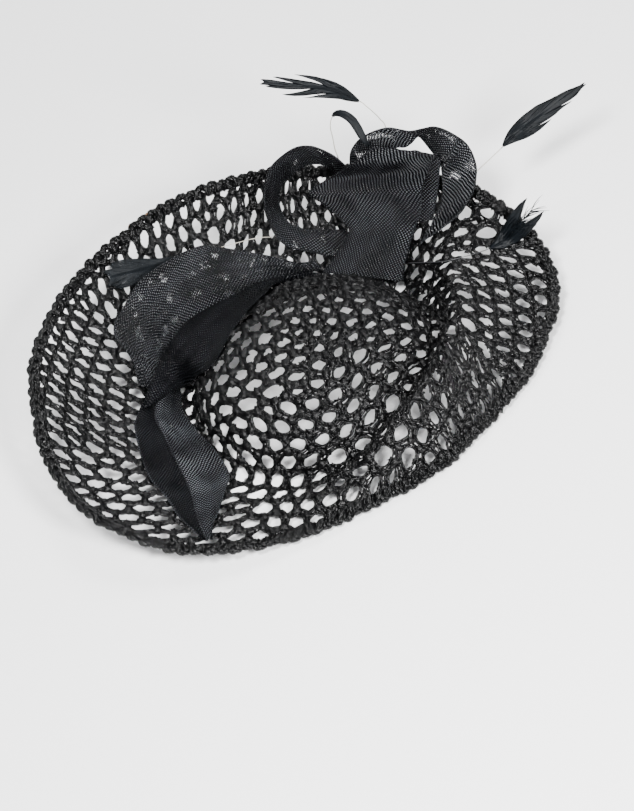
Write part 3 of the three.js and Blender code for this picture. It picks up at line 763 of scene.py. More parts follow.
# The net
@dataclass
class KnottedNet:
    """The plate's net: staggered gaps between bundles of flat straws, knotted where they meet."""

    plate: PlateSurface
    # each round of gaps: distance from the crown's tip, and how many gaps it has
    rounds: Sequence = (
        (0, 1), (10, 6), (20.5, 11), (31, 16), (41.5, 21), (52, 25), (62.5, 29), (73, 33), (83.5, 36),
        (94, 42), (105, 48), (116.5, 56), (128, 64), (139.5, 72), (151, 80), (162.5, 88), (174, 94),
        (185.5, 94), (197, 94), (208.5, 94), (220, 94),
    )
    # azimuth in degrees, how wide the gaps are drawn there, how far they lean, how thick the bundles lie
    drawn: Sequence = (
        (0, 0.92, -0.32, 1.5), (45, 0.84, 0.0, 1.55), (100, 0.92, -0.25, 1.2), (145, 0.93, -0.25, 1.05),
        (190, 0.97, -0.5, 1.0), (230, 1.0, -0.35, 1.15), (275, 1.1, -0.2, 1.85), (320, 0.98, -0.36, 1.75),
    )
    # how far a gap strays: round the plate as a share of its spacing, and outwards
    stray_round: float = 0.1
    stray_out: float = 0.9
    # share of the way that each gap settles towards the middle of the knots round it
    settle: float = 0.5
    # middles of gaps nearer than this would be one, and azimuths are spread by this many steps
    weld: float = 1e-6
    spread_steps: int = 720
    # the gaps lean past the first distance, and reach the lean in the table over the second
    lean_from: float = 95.0
    lean_over: float = 130.0
    # where bundles stop short of the rim, and how far past that their ends and the knots may lie
    rim_margin: float = 6.5
    ends_past: float = 1.5
    knots_past: float = 1.0
    # where the crown's piece ends, and the pieces in order: the crown, then thirds of the brim
    crown_to: float = 92.0
    pieces: Sequence = ("net_crown", "net_brim_far", "net_brim_left", "net_brim_near")
    # the strands of a bundle lie side by side in lanes, closest at its waist and flared at the knots
    strands: int = 4
    rings: int = 6
    sides: int = 5
    strand_half: float = 0.85
    strand_flat: float = 0.62
    bundle_half: float = 1.4
    waist: float = 0.85
    flare: float = 0.55
    overlap: float = 0.06
    weave_lift: float = 0.55
    bow: float = 0.7
    least_radius: float = 8.0
    # how far single strands stray aside, up and round themselves, and how much they twist and swell
    stray_aside: float = 0.3
    stray_up: float = 0.2
    stray_turn: float = 0.6
    twist: float = 1.6
    swell: tuple = (0.7, 1.3)
    # the crown's bundles lie a little thicker: shares at distances, and how far that thickens strands
    lay_distance: Sequence = (0, 70, 95, 115)
    lay_share: Sequence = (1.12, 1.1, 1.02, 1.0)
    lay_swell: float = 0.65
    knot_half: tuple = (2.9, 2.5, 1.9)
    knot_swell: tuple = (0.8, 1.2)
    knot_ridge: float = 0.24
    seed: int = 7
    rng: np.random.Generator = field(init=False)

    def __post_init__(self) -> None:
        """Seeds the small irregularities."""
        self.rng = np.random.default_rng(self.seed)

    def by_azimuth(self, azimuth: np.ndarray, column: int) -> np.ndarray:
        """Reads one column of the drawn table at azimuths."""
        table = np.array(self.drawn, float)
        return np.interp(np.degrees(azimuth) % 360, table[:, 0], table[:, column], period=360)

    def laid_share(self, distance: np.ndarray) -> np.ndarray:
        """How thick bundles and knots lie at distances from the crown's tip."""
        return np.interp(distance, self.lay_distance, self.lay_share)

    def spread(self, shares: np.ndarray) -> np.ndarray:
        """Turns even shares of a round into azimuths, closer together where the net is drawn in.

        Args:
            shares: places round the plate, each full turn counting as one.

        Returns:
            Their azimuths.
        """
        fine = np.linspace(0, FULL_TURN, self.spread_steps + 1)
        cost = 1 / self.by_azimuth(fine, 1)
        total = np.concatenate([[0], np.cumsum((cost[1:] + cost[:-1]) / 2)])
        total /= total[-1]
        return np.interp(shares % 1.0, total, fine) + FULL_TURN * np.floor(shares)

    def gap_centers(self) -> np.ndarray:
        """Lays out the gaps, each round half a gap on from the one inside it.

        Returns:
            Their middles on the flat layout, whose radius is the distance from the crown's tip.
        """
        centers = []
        for k, (distance, count) in enumerate(self.rounds):
            azimuth = self.spread((np.arange(count) + k / 2) / count)
            stray = self.rng.uniform(-self.stray_round, self.stray_round, count)
            azimuth = azimuth + stray * FULL_TURN / count
            radius = distance + self.rng.uniform(-self.stray_out, self.stray_out, count)
            centers.append(np.stack([radius * np.cos(azimuth), radius * np.sin(azimuth)], axis=1))
        return np.concatenate(centers)

    def bundles(self) -> tuple[np.ndarray, np.ndarray]:
        """Lays out the net as straight bundles between knots.

        The gaps' middles are joined into triangles. A knot stands in the middle of each triangle, and a
        bundle joins two knots whose triangles share a side, so that every gap is a rounded hexagon.

        Returns:
            The bundles, each with two ends of azimuth and distance, and the knots' places.
        """
        centers = self.gap_centers()
        fixed = np.hypot(centers[:, 0], centers[:, 1]) > self.rounds[-2][0]
        corners = np.array(delaunay_2d_cdt([Vector(c) for c in centers], [], [], 0, self.weld)[2])
        total = np.zeros_like(centers)
        np.add.at(total, corners, centers[corners].mean(axis=1)[:, None])
        shared = np.bincount(corners.ravel(), minlength=len(centers))[:, None]
        settled = (1 - self.settle) * centers + self.settle * total / np.maximum(shared, 1)
        centers = np.where(fixed[:, None], centers, settled)
        sides = np.sort(np.concatenate([corners[:, [0, 1]], corners[:, [1, 2]], corners[:, [2, 0]]]), axis=1)
        owner = np.tile(np.arange(len(corners)), 3)
        order = np.lexsort((sides[:, 1], sides[:, 0]))
        sides, owner = sides[order], owner[order]
        paired = np.flatnonzero((sides[:-1] == sides[1:]).all(axis=1))
        knots = centers[corners].mean(axis=1)
        distance = np.hypot(knots[:, 0], knots[:, 1])
        azimuth = np.arctan2(knots[:, 1], knots[:, 0])
        leaning = np.maximum(distance - self.lean_from, 0) / self.lean_over
        placed = np.stack([azimuth + self.by_azimuth(azimuth, 2) * leaning, distance], axis=1)
        laid = np.stack([placed[owner[paired]], placed[owner[paired + 1]]], axis=1)
        laid[:, 1, 0] -= FULL_TURN * np.round((laid[:, 1, 0] - laid[:, 0, 0]) / FULL_TURN)
        laid = laid[(laid[..., 1] < self.plate.rim(laid[..., 0]) - self.rim_margin).any(axis=1)]
        stop = self.plate.rim(laid[..., 0]) - self.rim_margin + self.ends_past
        laid[..., 1] = np.minimum(laid[..., 1], stop)
        placed = placed[placed[:, 1] < self.plate.rim(placed[:, 0]) - self.rim_margin + self.knots_past]
        placed[:, 0] %= FULL_TURN
        return laid, placed

    def strand_shell(self, laid: np.ndarray) -> Shell:
        """Flat strands side by side along bundles.

        Each strand keeps to its own lane of the bundle, waves up and down once on the way, and twists a
        little. With t along the bundle, its outer lanes lie bundle_half * (waist + flare * (2 * t - 1)^2)
        off its middle, and the whole bundle bows aside by a sine.

        Args:
            laid: bundles, each with two ends of azimuth and distance.

        Returns:
            The strands' closed shell.
        """
        count, strands, rings = len(laid), self.strands, self.rings
        t = np.linspace(-self.overlap, 1 + self.overlap, rings)
        ends = laid[:, None, None]
        line = ends[..., 0, :] + (ends[..., 1, :] - ends[..., 0, :]) * t[:, None]
        bow = self.rng.uniform(-1, 1, (count, 1, 1, 2)) * np.sin(np.pi * np.clip(t, 0, 1))[:, None]
        radius = np.maximum(line[..., 1], self.least_radius)
        reach = np.stack([1.0 / radius, np.ones(line.shape[:-1])], axis=-1)
        line = line + bow * self.bow * reach
        line = np.broadcast_to(line, (count, strands, rings, 2)).reshape(-1, rings, 2)
        place = self.plate.at(line[..., 0], line[..., 1])
        up = self.plate.axes(line[..., 0], line[..., 1])[2]
        run = unit(np.gradient(place, axis=1))
        side = unit(np.cross(up, run))
        lane = np.tile(np.linspace(-1, 1, strands), count)[:, None]
        apart = self.bundle_half * (self.waist + self.flare * (2 * t - 1) ** 2)
        thick = self.laid_share(line[..., 1])
        aside = lane * apart * self.by_azimuth(line[..., 0], 3) * thick
        aside = aside + self.rng.uniform(-self.stray_aside, self.stray_aside, lane.shape)
        wave = np.sin(np.pi * (2 * t + self.rng.uniform(0, 2, lane.shape)))
        lift = self.weave_lift * wave + self.rng.uniform(-self.stray_up, self.stray_up, lane.shape)
        center = place + aside[..., None] * side + lift[..., None] * up
        turn = self.rng.uniform(-self.stray_turn, self.stray_turn, lane.shape)
        turn = turn + self.rng.uniform(-self.twist, self.twist, lane.shape) * t
        across = np.cos(turn)[..., None] * side + np.sin(turn)[..., None] * up
        swell = self.rng.uniform(*self.swell, (count * strands, rings))
        swell = swell * (1 - self.lay_swell + self.lay_swell * thick)
        return tubes(center, across, np.cross(run, across), self.strand_half * swell,
                     self.strand_flat * swell, self.sides)

    def knot_shell(self, knots: np.ndarray) -> Shell:
        """Lumpy knots where the bundles meet.

        Args:
            knots: their azimuths and distances.

        Returns:
            The knots' closed shell.
        """
        count = len(knots)
        place = self.plate.at(knots[:, 0], knots[:, 1])
        outward, about, up = self.plate.axes(knots[:, 0], knots[:, 1])
        turn = self.rng.uniform(0, np.pi, count)[:, None]
        first = np.cos(turn) * outward + np.sin(turn) * about
        axes = np.stack([first, np.cross(up, first), up], axis=1)
        size = self.rng.uniform(*self.knot_swell, (count, 3)) * self.laid_share(knots[:, 1:])
        phase = self.rng.uniform(0, ANY_PHASE, count)
        return lumps(place, axes, np.array(self.knot_half) * size, phase, self.knot_ridge)

    def piece_of(self, places: np.ndarray) -> np.ndarray:
        """Numbers the piece that each place belongs to.

        Args:
            places: azimuths and distances.

        Returns:
            Nought on the crown, and from one up for the parts of the brim.
        """
        thirds = len(self.pieces) - 1
        third = np.floor(places[:, 0] % FULL_TURN / FULL_TURN * thirds).astype(int) % thirds
        return np.where(places[:, 1] > self.crown_to, 1 + third, 0)

    def build(self, finish: bpy.types.Material) -> list[bpy.types.Object]:
        """Builds the net in pieces, none of them over the limit on triangles.

        Args:
            finish: the straw's material.

        Returns:
            The net's pieces.
        """
        laid, knots = self.bundles()
        bundle_piece, knot_piece = self.piece_of(laid.mean(axis=1)), self.piece_of(knots)
        made = []
        for number, name in enumerate(self.pieces):
            shell = Shell.join([self.strand_shell(laid[bundle_piece == number]),
                                self.knot_shell(knots[knot_piece == number])])
            made.append(make_piece(name, shell.above_floor(), finish, ["plate_net"]))
        return made


@dataclass
class KnottedRim:
    """The rim: the last row of the net, a row of thick looped scallops bound down along a cord."""

    plate: PlateSurface
    net: KnottedNet
    # scallops: how many, and how far in from the rim their feet and tops are
    loops: int = 138
    foot: float = 8.0
    top: float = 2.3
    rings: int = 15
    sides: int = 6
    strands: int = 3
    strand_half: float = 1.5
    strand_flat: float = 0.72
    # strands wind round the loop's line, this far each way from its top, in radians
    winding: float = 4.14
    winding_radius: float = 1.2
    winding_flat: float = 0.9
    # ranges of the loops' shapes: stray along the rim, half width, stray of the top, lift and swell
    stray: tuple = (-0.08, 0.08)
    half_width: tuple = (0.42, 0.54)
    top_stray: tuple = (-0.6, 1.1)
    loop_lift: float = 1.1
    lift_share: tuple = (-0.6, 1.0)
    swell: tuple = (0.85, 1.2)
    cord_inset: float = 6.3
    cord_half: float = 1.5
    cord_flat: float = 0.75
    cord_radius: float = 1.1
    cord_steps: int = 900
    cord_sides: int = 5
    # undyed patches: where they are in degrees, their half sizes, how far up and out they lie
    flecks: Sequence = (117.0, 112.5)
    fleck_half: tuple = (1.7, 0.8, 0.9)
    fleck_up: float = 1.3
    fleck_out: float = 0.6
    fleck_ridge: float = 0.2
    seed: int = 11

    def loop_shell(self) -> Shell:
        """Scallops: each loop goes out from the cord, round, and back, as strands wound together.

        Along the rim a loop is a sine, and outwards it is a cosine to the power 0.8, so its top is round.

        Returns:
            The loops' closed shell.
        """
        rng = np.random.default_rng(self.seed)
        count = self.loops
        s = np.linspace(-1, 1, self.rings)[None]
        middle = (np.arange(count) + rng.uniform(*self.stray, count))[:, None]
        wide = rng.uniform(*self.half_width, count)[:, None]
        azimuth = self.net.spread((middle + wide * np.sin(np.pi / 2 * s)) / count)
        rise = np.cos(np.pi / 2 * s) ** 0.8
        top = self.top + rng.uniform(*self.top_stray, count)[:, None]
        line = self.plate.rim(azimuth) - (self.foot + (top - self.foot) * rise)
        up = self.plate.axes(azimuth, line)[2]
        lift = self.loop_lift * rise * rng.uniform(*self.lift_share, count)[:, None]
        place = self.plate.at(azimuth, line) + up * lift[..., None]
        run = unit(np.gradient(place, axis=1))
        side = unit(np.cross(up, run))
        phase = np.arange(self.strands)[None, :, None] / self.strands * FULL_TURN
        angle = phase + rng.uniform(0, ANY_PHASE, count)[:, None, None] + self.winding * s[:, None]
        cos, sin = np.cos(angle)[..., None], np.sin(angle)[..., None]
        center = place[:, None] + self.winding_radius * (
            cos * side[:, None] + self.winding_flat * sin * up[:, None])
        across = cos * up[:, None] - sin * side[:, None]
        over = np.cross(np.broadcast_to(run[:, None], across.shape), across)
        shape = (count * self.strands, self.rings)
        half = self.strand_half * rng.uniform(*self.swell, shape)
        return tubes(center.reshape(*shape, 3), across.reshape(*shape, 3), over.reshape(*shape, 3),
                     half, self.strand_flat * half, self.sides)

    def cord_shell(self) -> Shell:
        """The binding cord: two strands wound round each other under the feet of the loops.

        Returns:
            The strands' closed shell.
        """
        rng = np.random.default_rng(self.seed + 1)
        azimuth = np.arange(self.cord_steps) / self.cord_steps * FULL_TURN
        line = self.plate.rim(azimuth) - self.cord_inset
        outward, about, up = self.plate.axes(azimuth, line)
        angle = np.array([0, np.pi])[:, None] + azimuth[None] * self.loops
        across = np.cos(angle)[..., None] * outward[None] + np.sin(angle)[..., None] * up[None]
        center = self.plate.at(azimuth, line)[None] + self.cord_radius * across
        over = np.cross(np.broadcast_to(about, across.shape), across)
        half = self.cord_half * rng.uniform(*self.swell, angle.shape)
        return tubes(center, across, over, half, self.cord_flat * half, self.cord_sides, closed=True)

    def fleck_shell(self) -> Shell:
        """Small patches along the rim where the straw took no dye.

        Returns:
            The patches' closed shell.
        """
        azimuth = np.radians(self.flecks)
        line = self.plate.rim(azimuth) - self.top
        outward, about, up = self.plate.axes(azimuth, line)
        place = self.plate.at(azimuth, line) + self.fleck_up * up + self.fleck_out * outward
        radii = np.tile(self.fleck_half, (len(azimuth), 1))
        return lumps(place, np.stack([about, outward, up], axis=1), radii, azimuth, self.fleck_ridge)

    def build(self, finish: bpy.types.Material) -> list[bpy.types.Object]:
        """Builds the rim as one piece, with its few undyed patches.

        Args:
            finish: the straw's material.

        Returns:
            The rim and the patches.
        """
        # Undyed raffia: dull brown, as the glossy dye coat is missing.
        bare = MottledFinish("straw_bare", "#6e4a28", "#2e2014", 0.6).material()
        shell = Shell.join([self.cord_shell(), self.loop_shell()])
        return [make_piece("net_rim", shell.above_floor(), finish, ["plate_net"]),
                make_piece("net_rim_flecks", self.fleck_shell(), bare)]


# The sinamay
@dataclass
class SinamayBand:
    """A bias band of sinamay between two edges, finely pleated, with rolled hems."""

    name: str
    # rows along the band: a point on the first edge and one on the second, x, y, z each
    table: Sequence
    weave: Weave
    held: Held
    bulge: float
    pleats: float
    pleat_height: float = 0.55
    # a second set of pleats: how much finer and lower it is, and how far it wanders against the first
    second_pleats: tuple = (2.3, 0.5, 1.4)
    # the pleats' line wanders along the band by sines: reach in pleats, speed and phase
    wander: Sequence = ((0.35, 5.1, 0.0), (0.2, 13.0, 1.7))
    # pleats are full where the band is this wide, and keep a share of their height where it is narrow
    full_width: float = 25.0
    narrow_share: float = 0.4
    # share of the width that is turned over, and how far the rest lies above it
    turned_share: float = 0.0
    layer_rise: float = 0.9
    clear: float = 2.9
    thickness: float = 0.55
    hem_half: float = 0.65
    hem_flat: float = 0.8
    hem_sides: int = 7
    along: int = 150
    across: int = 44

    @staticmethod
    def upper_side(grid: np.ndarray) -> np.ndarray:
        """Surface directions of a grid, turned so that they all point to the trim's upper side."""
        normals = grid_normals(grid)
        return normals * np.where(normals @ NEAR_FACE >= 0, 1.0, -1.0)[..., None]

    def middle(self, plate: PlateSurface) -> np.ndarray:
        """The band's middle surface: edge to edge, arched by a sine between them and pleated.

        Pleats are two sines across the band. They fade at both edges by the root of a sine.

        Args:
            plate: the surface it is kept clear of.

        Returns:
            A grid of points, rows along the band.
        """
        u = np.linspace(0, 1, self.along)
        w = np.linspace(0, 1, self.across)
        edges = along_table(np.array(self.table, float), u)
        first, second = edges[:, None, :3], edges[:, None, 3:]
        arch = self.bulge * np.sin(np.pi * w)
        grid = first + (second - first) * w[None, :, None] + arch[None, :, None] * NEAR_FACE
        wander = sum(reach * np.sin(speed * u + phase)[:, None] for reach, speed, phase in self.wander)
        finer, lower, against = self.second_pleats
        fold = np.sin(FULL_TURN * (self.pleats * w[None] + wander)) + lower * np.sin(
            FULL_TURN * (self.pleats * finer * w[None] - against * wander))
        width = np.linalg.norm(second - first, axis=2)
        calm = np.sin(np.pi * w)[None] ** 0.5 * np.clip(width / self.full_width, self.narrow_share, 1.0)
        grid = grid + (self.pleat_height * (fold + 1) * calm)[..., None] * self.upper_side(grid)
        grid[..., 2] = np.maximum(grid[..., 2], plate.resting_height(grid[..., :2], self.clear))
        return grid

    def hem(self, grid: np.ndarray, cut: int) -> Shell:
        """Rolled hems: a thin tube along each long edge, and along the edge that is folded over.

        Args:
            grid: the band's middle surface.
            cut: the column where it is folded over, or nought.

        Returns:
            The tubes' closed shell.
        """
        edges = [0, -1] + ([cut] if cut else [])
        lines = grid[:, edges].transpose(1, 0, 2)
        run = unit(np.gradient(lines, axis=1))
        up = grid_normals(grid)[:, edges].transpose(1, 0, 2)
        side = unit(np.cross(up, run))
        half = np.full(lines.shape[:2], self.hem_half)
        return tubes(lines, side, np.cross(run, side), half, self.hem_flat * half, self.hem_sides)

    def build(self, plate: PlateSurface, finishes: dict[Weave, bpy.types.Material]) -> bpy.types.Object:
        """Builds the band and its hems, and the share of it that is turned under, painted darker as painted
        shade.

        Args:
            plate: the surface the band lies on.
            finishes: the cloth's materials.

        Returns:
            The band.
        """
        grid = self.middle(plate)
        cut = int(self.turned_share * (self.across - 1))
        if cut:
            under = grid[:, :cut + 2].copy()
            grid[:, cut:] += self.layer_rise * self.upper_side(grid)[:, cut:]
            # The turned-under part takes the cloth painted darker, as painted shade.
            make_piece(self.name + "_turned", sheet_shell(under, self.thickness),
                                   finishes[Weave.SHADED])
        upper = grid[:, cut:]
        finish = finishes[self.weave]
        band = make_piece(self.name + "_cloth", sheet_shell(upper, self.thickness), finish,
                          [self.name])
        make_piece(self.name + "_hem", self.hem(grid, cut), finish)
        return band


@dataclass
class SinamaySwathe:
    """The cloth that sweeps round the left of the crown: its upper length, a turned fold and a tail."""

    upper: Sequence = (
        (25, 88, 12, 26, 83, 7), (14, 90, 15, 18, 85, 10), (2, 96, 21, 10, 84, 12),
        (-9, 101, 26, 0, 87, 12), (-23, 107, 32, -18, 84, 14), (-34, 110, 37, -40, 80, 16),
        (-53, 106, 40, -60, 72, 18), (-75, 98, 40, -73, 63, 17), (-90, 85, 36, -78, 57, 16),
        (-100, 74, 31, -83, 50, 14), (-96, 56, 23, -86, 38, 13), (-97, 36, 19, -88, 31, 13),
    )
    fold: Sequence = (
        (24, 78, 11, 28, 74, 8), (16, 80, 14, 21, 76, 10), (1, 83, 16, 11, 79, 11),
        (-13, 83, 17, -8, 50, 36), (-28, 80, 18, -24, 36, 40), (-42, 76, 20, -37, 24, 39),
        (-58, 69, 22, -48, 12, 37), (-68, 61, 22, -59, 12, 29), (-79, 49, 22, -72, 32, 9),
        (-91, 31, 20, -80, 28, 13), (-100, 17, 18, -93, 20, 16),
    )
    tail: Sequence = (
        (-92, 32, 12, -76, 37, 4), (-100, 24, 14, -78, 30, 5), (-106, 12, 15, -80, 15, 5),
        (-108, 2, 15, -75, -7, 7), (-109, -19, 15, -70, -29, 10), (-108, -37, 14, -67, -47, 6),
        (-103, -54, 14, -72, -61, 8), (-100, -72, 14, -78, -75, 11), (-95, -86, 14, -84, -87, 12),
        (-90, -98, 14, -87, -98, 13),
    )

    def build(self, plate: PlateSurface, finishes: dict[Weave, bpy.types.Material]) -> list[bpy.types.Object]:
        """Builds the three bands.

        Args:
            plate: the surface they lie on.
            finishes: the cloth's materials.

        Returns:
            The bands.
        """
        bands = (
            SinamayBand("swathe_upper", self.upper, Weave.SINGLE, Held.GATHERED, bulge=3, pleats=5,
                        pleat_height=0.8),
            # The fold takes the cloth painted darker, as painted shade.
            SinamayBand("swathe_fold", self.fold, Weave.SHADED, Held.GATHERED, bulge=5, pleats=4,
                        pleat_height=0.8),
            # The tail's upper layer takes the cloth painted paler, as painted light.
            SinamayBand("swathe_tail", self.tail, Weave.LIT, Held.FOLDED, bulge=5, pleats=2,
                        turned_share=0.45),
        )
        return [band.build(plate, finishes) for band in bands]


@dataclass
class SinamayBow:
    """The looped bow: a loop on either side, and the wide fold between them."""

    left_loop: Sequence = (
        (44, 76, 12, 48, 92, 22), (36, 83, 14, 40, 96, 24), (25, 86, 22, 30, 98, 27),
        (15, 89, 28, 24, 102, 28), (10, 92, 34, 19, 106, 31), (8, 97, 40, 17, 111, 35),
        (8, 103, 49, 17, 116, 39), (11, 109, 56, 19, 119, 44), (15, 113, 63, 23, 122, 49),
        (21, 112, 72, 30, 119, 55), (30, 108, 80, 36, 116, 60), (38, 105, 84, 43, 112, 63),
        (45, 102, 84, 49, 109, 62), (51, 105, 76, 54, 111, 53), (57, 107, 66, 56, 111, 44),
        (61, 107, 57, 59, 108, 39),
    )
    center_fold: Sequence = (
        (26, 77, 12, 67, 41, 14), (33, 76, 18, 70, 43, 21), (45, 79, 27, 77, 48, 30),
        (50, 82, 32, 83, 54, 35), (46, 91, 38, 90, 60, 40), (41, 98, 44, 94, 64, 45),
        (36, 104, 50, 97, 68, 51), (52, 102, 56, 104, 72, 58), (64, 84, 74, 108, 72, 65),
        (78, 83, 80, 111, 72, 67), (81, 87, 76, 113, 76, 62), (82, 89, 68, 111, 75, 56),
        (79, 86, 45, 104, 72, 39), (75, 73, 29, 96, 62, 31),
    )
    right_loop: Sequence = (
        (64, 103, 58, 70, 97, 36), (67, 103, 67, 76, 98, 48), (72, 101, 74, 82, 97, 58),
        (78, 99, 78, 88, 95, 65), (85, 97, 80, 93, 91, 68), (92, 95, 80, 97, 90, 67),
        (98, 93, 77, 101, 90, 68), (103, 91, 75, 106, 91, 70), (110, 89, 75, 108, 92, 66),
        (116, 87, 75, 110, 92, 59), (121, 85, 72, 112, 91, 52), (126, 82, 67, 113, 85, 50),
        (130, 78, 62, 112, 79, 48), (131, 71, 58, 110, 73, 46), (130, 65, 53, 108, 69, 42),
        (127, 60, 49, 105, 66, 38), (124, 57, 45, 101, 63, 35), (118, 54, 41, 97, 60, 33),
        (113, 53, 37, 94, 57, 31), (106, 52, 34, 91, 56, 30), (98, 51, 32, 87, 51, 29),
        (91, 49, 30, 84, 49, 27),
    )

    def build(self, plate: PlateSurface, finishes: dict[Weave, bpy.types.Material]) -> list[bpy.types.Object]:
        """Builds the two loops and the fold.

        Args:
            plate: the surface they stand over.
            finishes: the cloth's materials.

        Returns:
            The bands.
        """
        bands = (
            SinamayBand("bow_left_loop", self.left_loop, Weave.SINGLE, Held.FOLDED, bulge=0, pleats=1.5,
                        pleat_height=0.2),
            SinamayBand("bow_center_fold", self.center_fold, Weave.DOUBLE, Held.FOLDED, bulge=3, pleats=2.5,
                        pleat_height=0.4),
            SinamayBand("bow_right_loop", self.right_loop, Weave.SINGLE, Held.FOLDED, bulge=0, pleats=1.5,
                        pleat_height=0.2),
        )
        return [band.build(plate, finishes) for band in bands]


# The feathers
@dataclass
class Feather:
    """A stripped quill with a small vane at its end: barbs in clumps on both sides."""

    name: str
    # rows along the quill: a point on it, and half the feather's width there
    table: Sequence
    vane_from: float
    quill_half: float = 0.34
    quill_taper: float = 0.6
    quill_rings: int = 60
    quill_sides: int = 6
    # how far the quill runs: this share of the feather into the vane's foot, and to here in its tip
    quill_lap: float = 0.02
    quill_to: float = 0.985
    # barbs on each side, where the last one grows, and how far along each one's tip lies past its root
    barbs: int = 80
    barbs_to: float = 0.96
    barb_half: float = 0.75
    barb_thin: float = 0.12
    barb_rings: int = 7
    sweep: float = 0.42
    past_tip: float = 8.0
    # clumps on each side, how far they differ, how close their barbs lie, and how far sides are offset
    clumps: int = 7
    split: float = 0.7
    gather: float = 0.3
    offset: float = 0.3
    # a clump's chance is the sine of its number times this, which jumps from one clump to the next
    chance_step: float = 12.9898
    barb_swell: tuple = (0.8, 1.2)
    barb_stray: float = 0.3
    barb_droop: float = 0.1
    # loose hairs past the vane
    wisps: int = 0
    wisp_half: float = 0.32
    wisp_rings: int = 8
    # their roots, from where the last barb grows, and how much they curve aside, rise and thin
    wisp_roots: tuple = (-0.05, 0.2)
    wisp_curve: float = 0.25
    wisp_rise: float = 0.15
    wisp_taper: float = 0.75
    wisp_reach: float = 12.0
    wisp_fan: float = 0.8
    seed: int = 3

    def line(self, fraction: np.ndarray) -> tuple[np.ndarray, np.ndarray, np.ndarray, np.ndarray, np.ndarray]:
        """The quill at places along it.

        Args:
            fraction: places along the quill, 0 at its foot and 1 at the tip.

        Returns:
            Its points, the half widths there, and unit directions along, aside and up.
        """
        table, step = np.array(self.table, float), 0.01
        rows = along_table(table, fraction)
        ahead = along_table(table, np.minimum(fraction + step, 1))
        behind = along_table(table, np.maximum(fraction - step, 0))
        run = unit(ahead[..., :3] - behind[..., :3])
        side = unit(np.cross(run, NEAR_FACE))
        return rows[..., :3], rows[..., 3], run, side, np.cross(side, run)

    def quill(self, start: float, end: float) -> Shell:
        """A tapered round quill between two places along the feather.

        Args:
            start: where it starts, 0 at the foot.
            end: where it ends, 1 at the tip.

        Returns:
            Its closed shell.
        """
        t = np.linspace(start, end, self.quill_rings)
        place, _, _, side, up = self.line(t)
        half = self.quill_half * (1 - self.quill_taper * t)
        return tubes(place[None], side[None], up[None], half[None], half[None], self.quill_sides)

    def vane(self) -> Shell:
        """Barbs on both sides: each leaves the quill at an angle, curves towards the tip and narrows.

        With s along a barb, it stands 1 - (1 - s)^1.6 of its reach aside, and its width falls by s^2.6.

        Returns:
            The barbs' closed shell.
        """
        rng = np.random.default_rng(self.seed)
        length = 1 - self.vane_from
        root = np.tile(np.linspace(self.vane_from, self.barbs_to, self.barbs), 2)
        hand = np.repeat([1.0, -1.0], self.barbs)
        clump = np.floor((root - self.vane_from) / length * self.clumps + hand * self.offset)
        chance = np.abs(np.sin(clump * self.chance_step + self.seed)) % 1.0
        sweep = self.sweep * length * (1 + 0.5 * self.split * (chance - 0.5))
        clump_root = self.vane_from + (clump + 0.5 - hand * self.offset) / self.clumps * length
        ending = root + self.gather * (clump_root - root) + sweep
        tip = np.clip(ending, root, 1.0)
        reach = self.line(tip)[1] * (1 - 0.6 * self.split * chance)
        s = np.linspace(0, 1, self.barb_rings)[None]
        place, _, run, side, up = self.line(root[:, None] + (tip - root)[:, None] * s)
        aside = (reach * hand)[:, None] * (1 - (1 - s) ** 1.6)
        stray = rng.uniform(-self.barb_stray, self.barb_stray, len(root))[:, None]
        lift = stray * s - self.barb_droop * reach[:, None] * s**2
        past = (np.maximum(ending - 1.0, 0) * self.past_tip)[:, None] * s**2
        center = place + aside[..., None] * side + lift[..., None] * up + past[..., None] * run
        along = unit(np.gradient(center, axis=1))
        wide = unit(np.cross(up, along))
        half = self.barb_half * (1 - 0.92 * s**2.6) * rng.uniform(*self.barb_swell, (len(root), 1))
        return tubes(center, wide, np.cross(along, wide), half, np.full_like(half, self.barb_thin), 4)

    def wisp_shell(self) -> Shell:
        """Loose single barbs past the vane, each a thin tapered hair that curves away from the quill.

        Returns:
            The hairs' closed shell.
        """
        rng = np.random.default_rng(self.seed + 5)
        root = rng.uniform(self.barbs_to + self.wisp_roots[0], self.barbs_to + self.wisp_roots[1], self.wisps)
        place, _, run, side, up = self.line(root)
        s = np.linspace(0, 1, self.wisp_rings)[None, :, None]
        reach = self.wisp_reach * rng.uniform(0.5, 1.0, self.wisps)[:, None, None]
        fan = rng.uniform(-self.wisp_fan, self.wisp_fan, self.wisps)[:, None, None]
        center = place[:, None] + reach * (
            side[:, None] * (fan * s + self.wisp_curve * s**2) + run[:, None] * s
            + up[:, None] * self.wisp_rise * s**2)
        along = unit(np.gradient(center, axis=1))
        wide = unit(np.cross(up[:, None], along))
        half = np.broadcast_to(self.wisp_half * (1 - self.wisp_taper * s[..., 0]), center.shape[:2])
        return tubes(center, wide, np.cross(along, wide), half, half, 4)

    def build(self, barb: bpy.types.Material, stem: bpy.types.Material) -> list[bpy.types.Object]:
        """Builds the vane and the bare quill.

        Args:
            barb: the barbs' material.
            stem: the bare quill's material.

        Returns:
            The vane and the quill.
        """
        shells = [self.vane(), self.quill(self.vane_from - self.quill_lap, self.quill_to)]
        if self.wisps:
            shells.append(self.wisp_shell())
        bare = self.quill(0.0, self.vane_from)
        return [make_piece(self.name + "_vane", Shell.join(shells), barb, [self.name]),
                make_piece(self.name + "_quill", bare, stem, [self.name])]


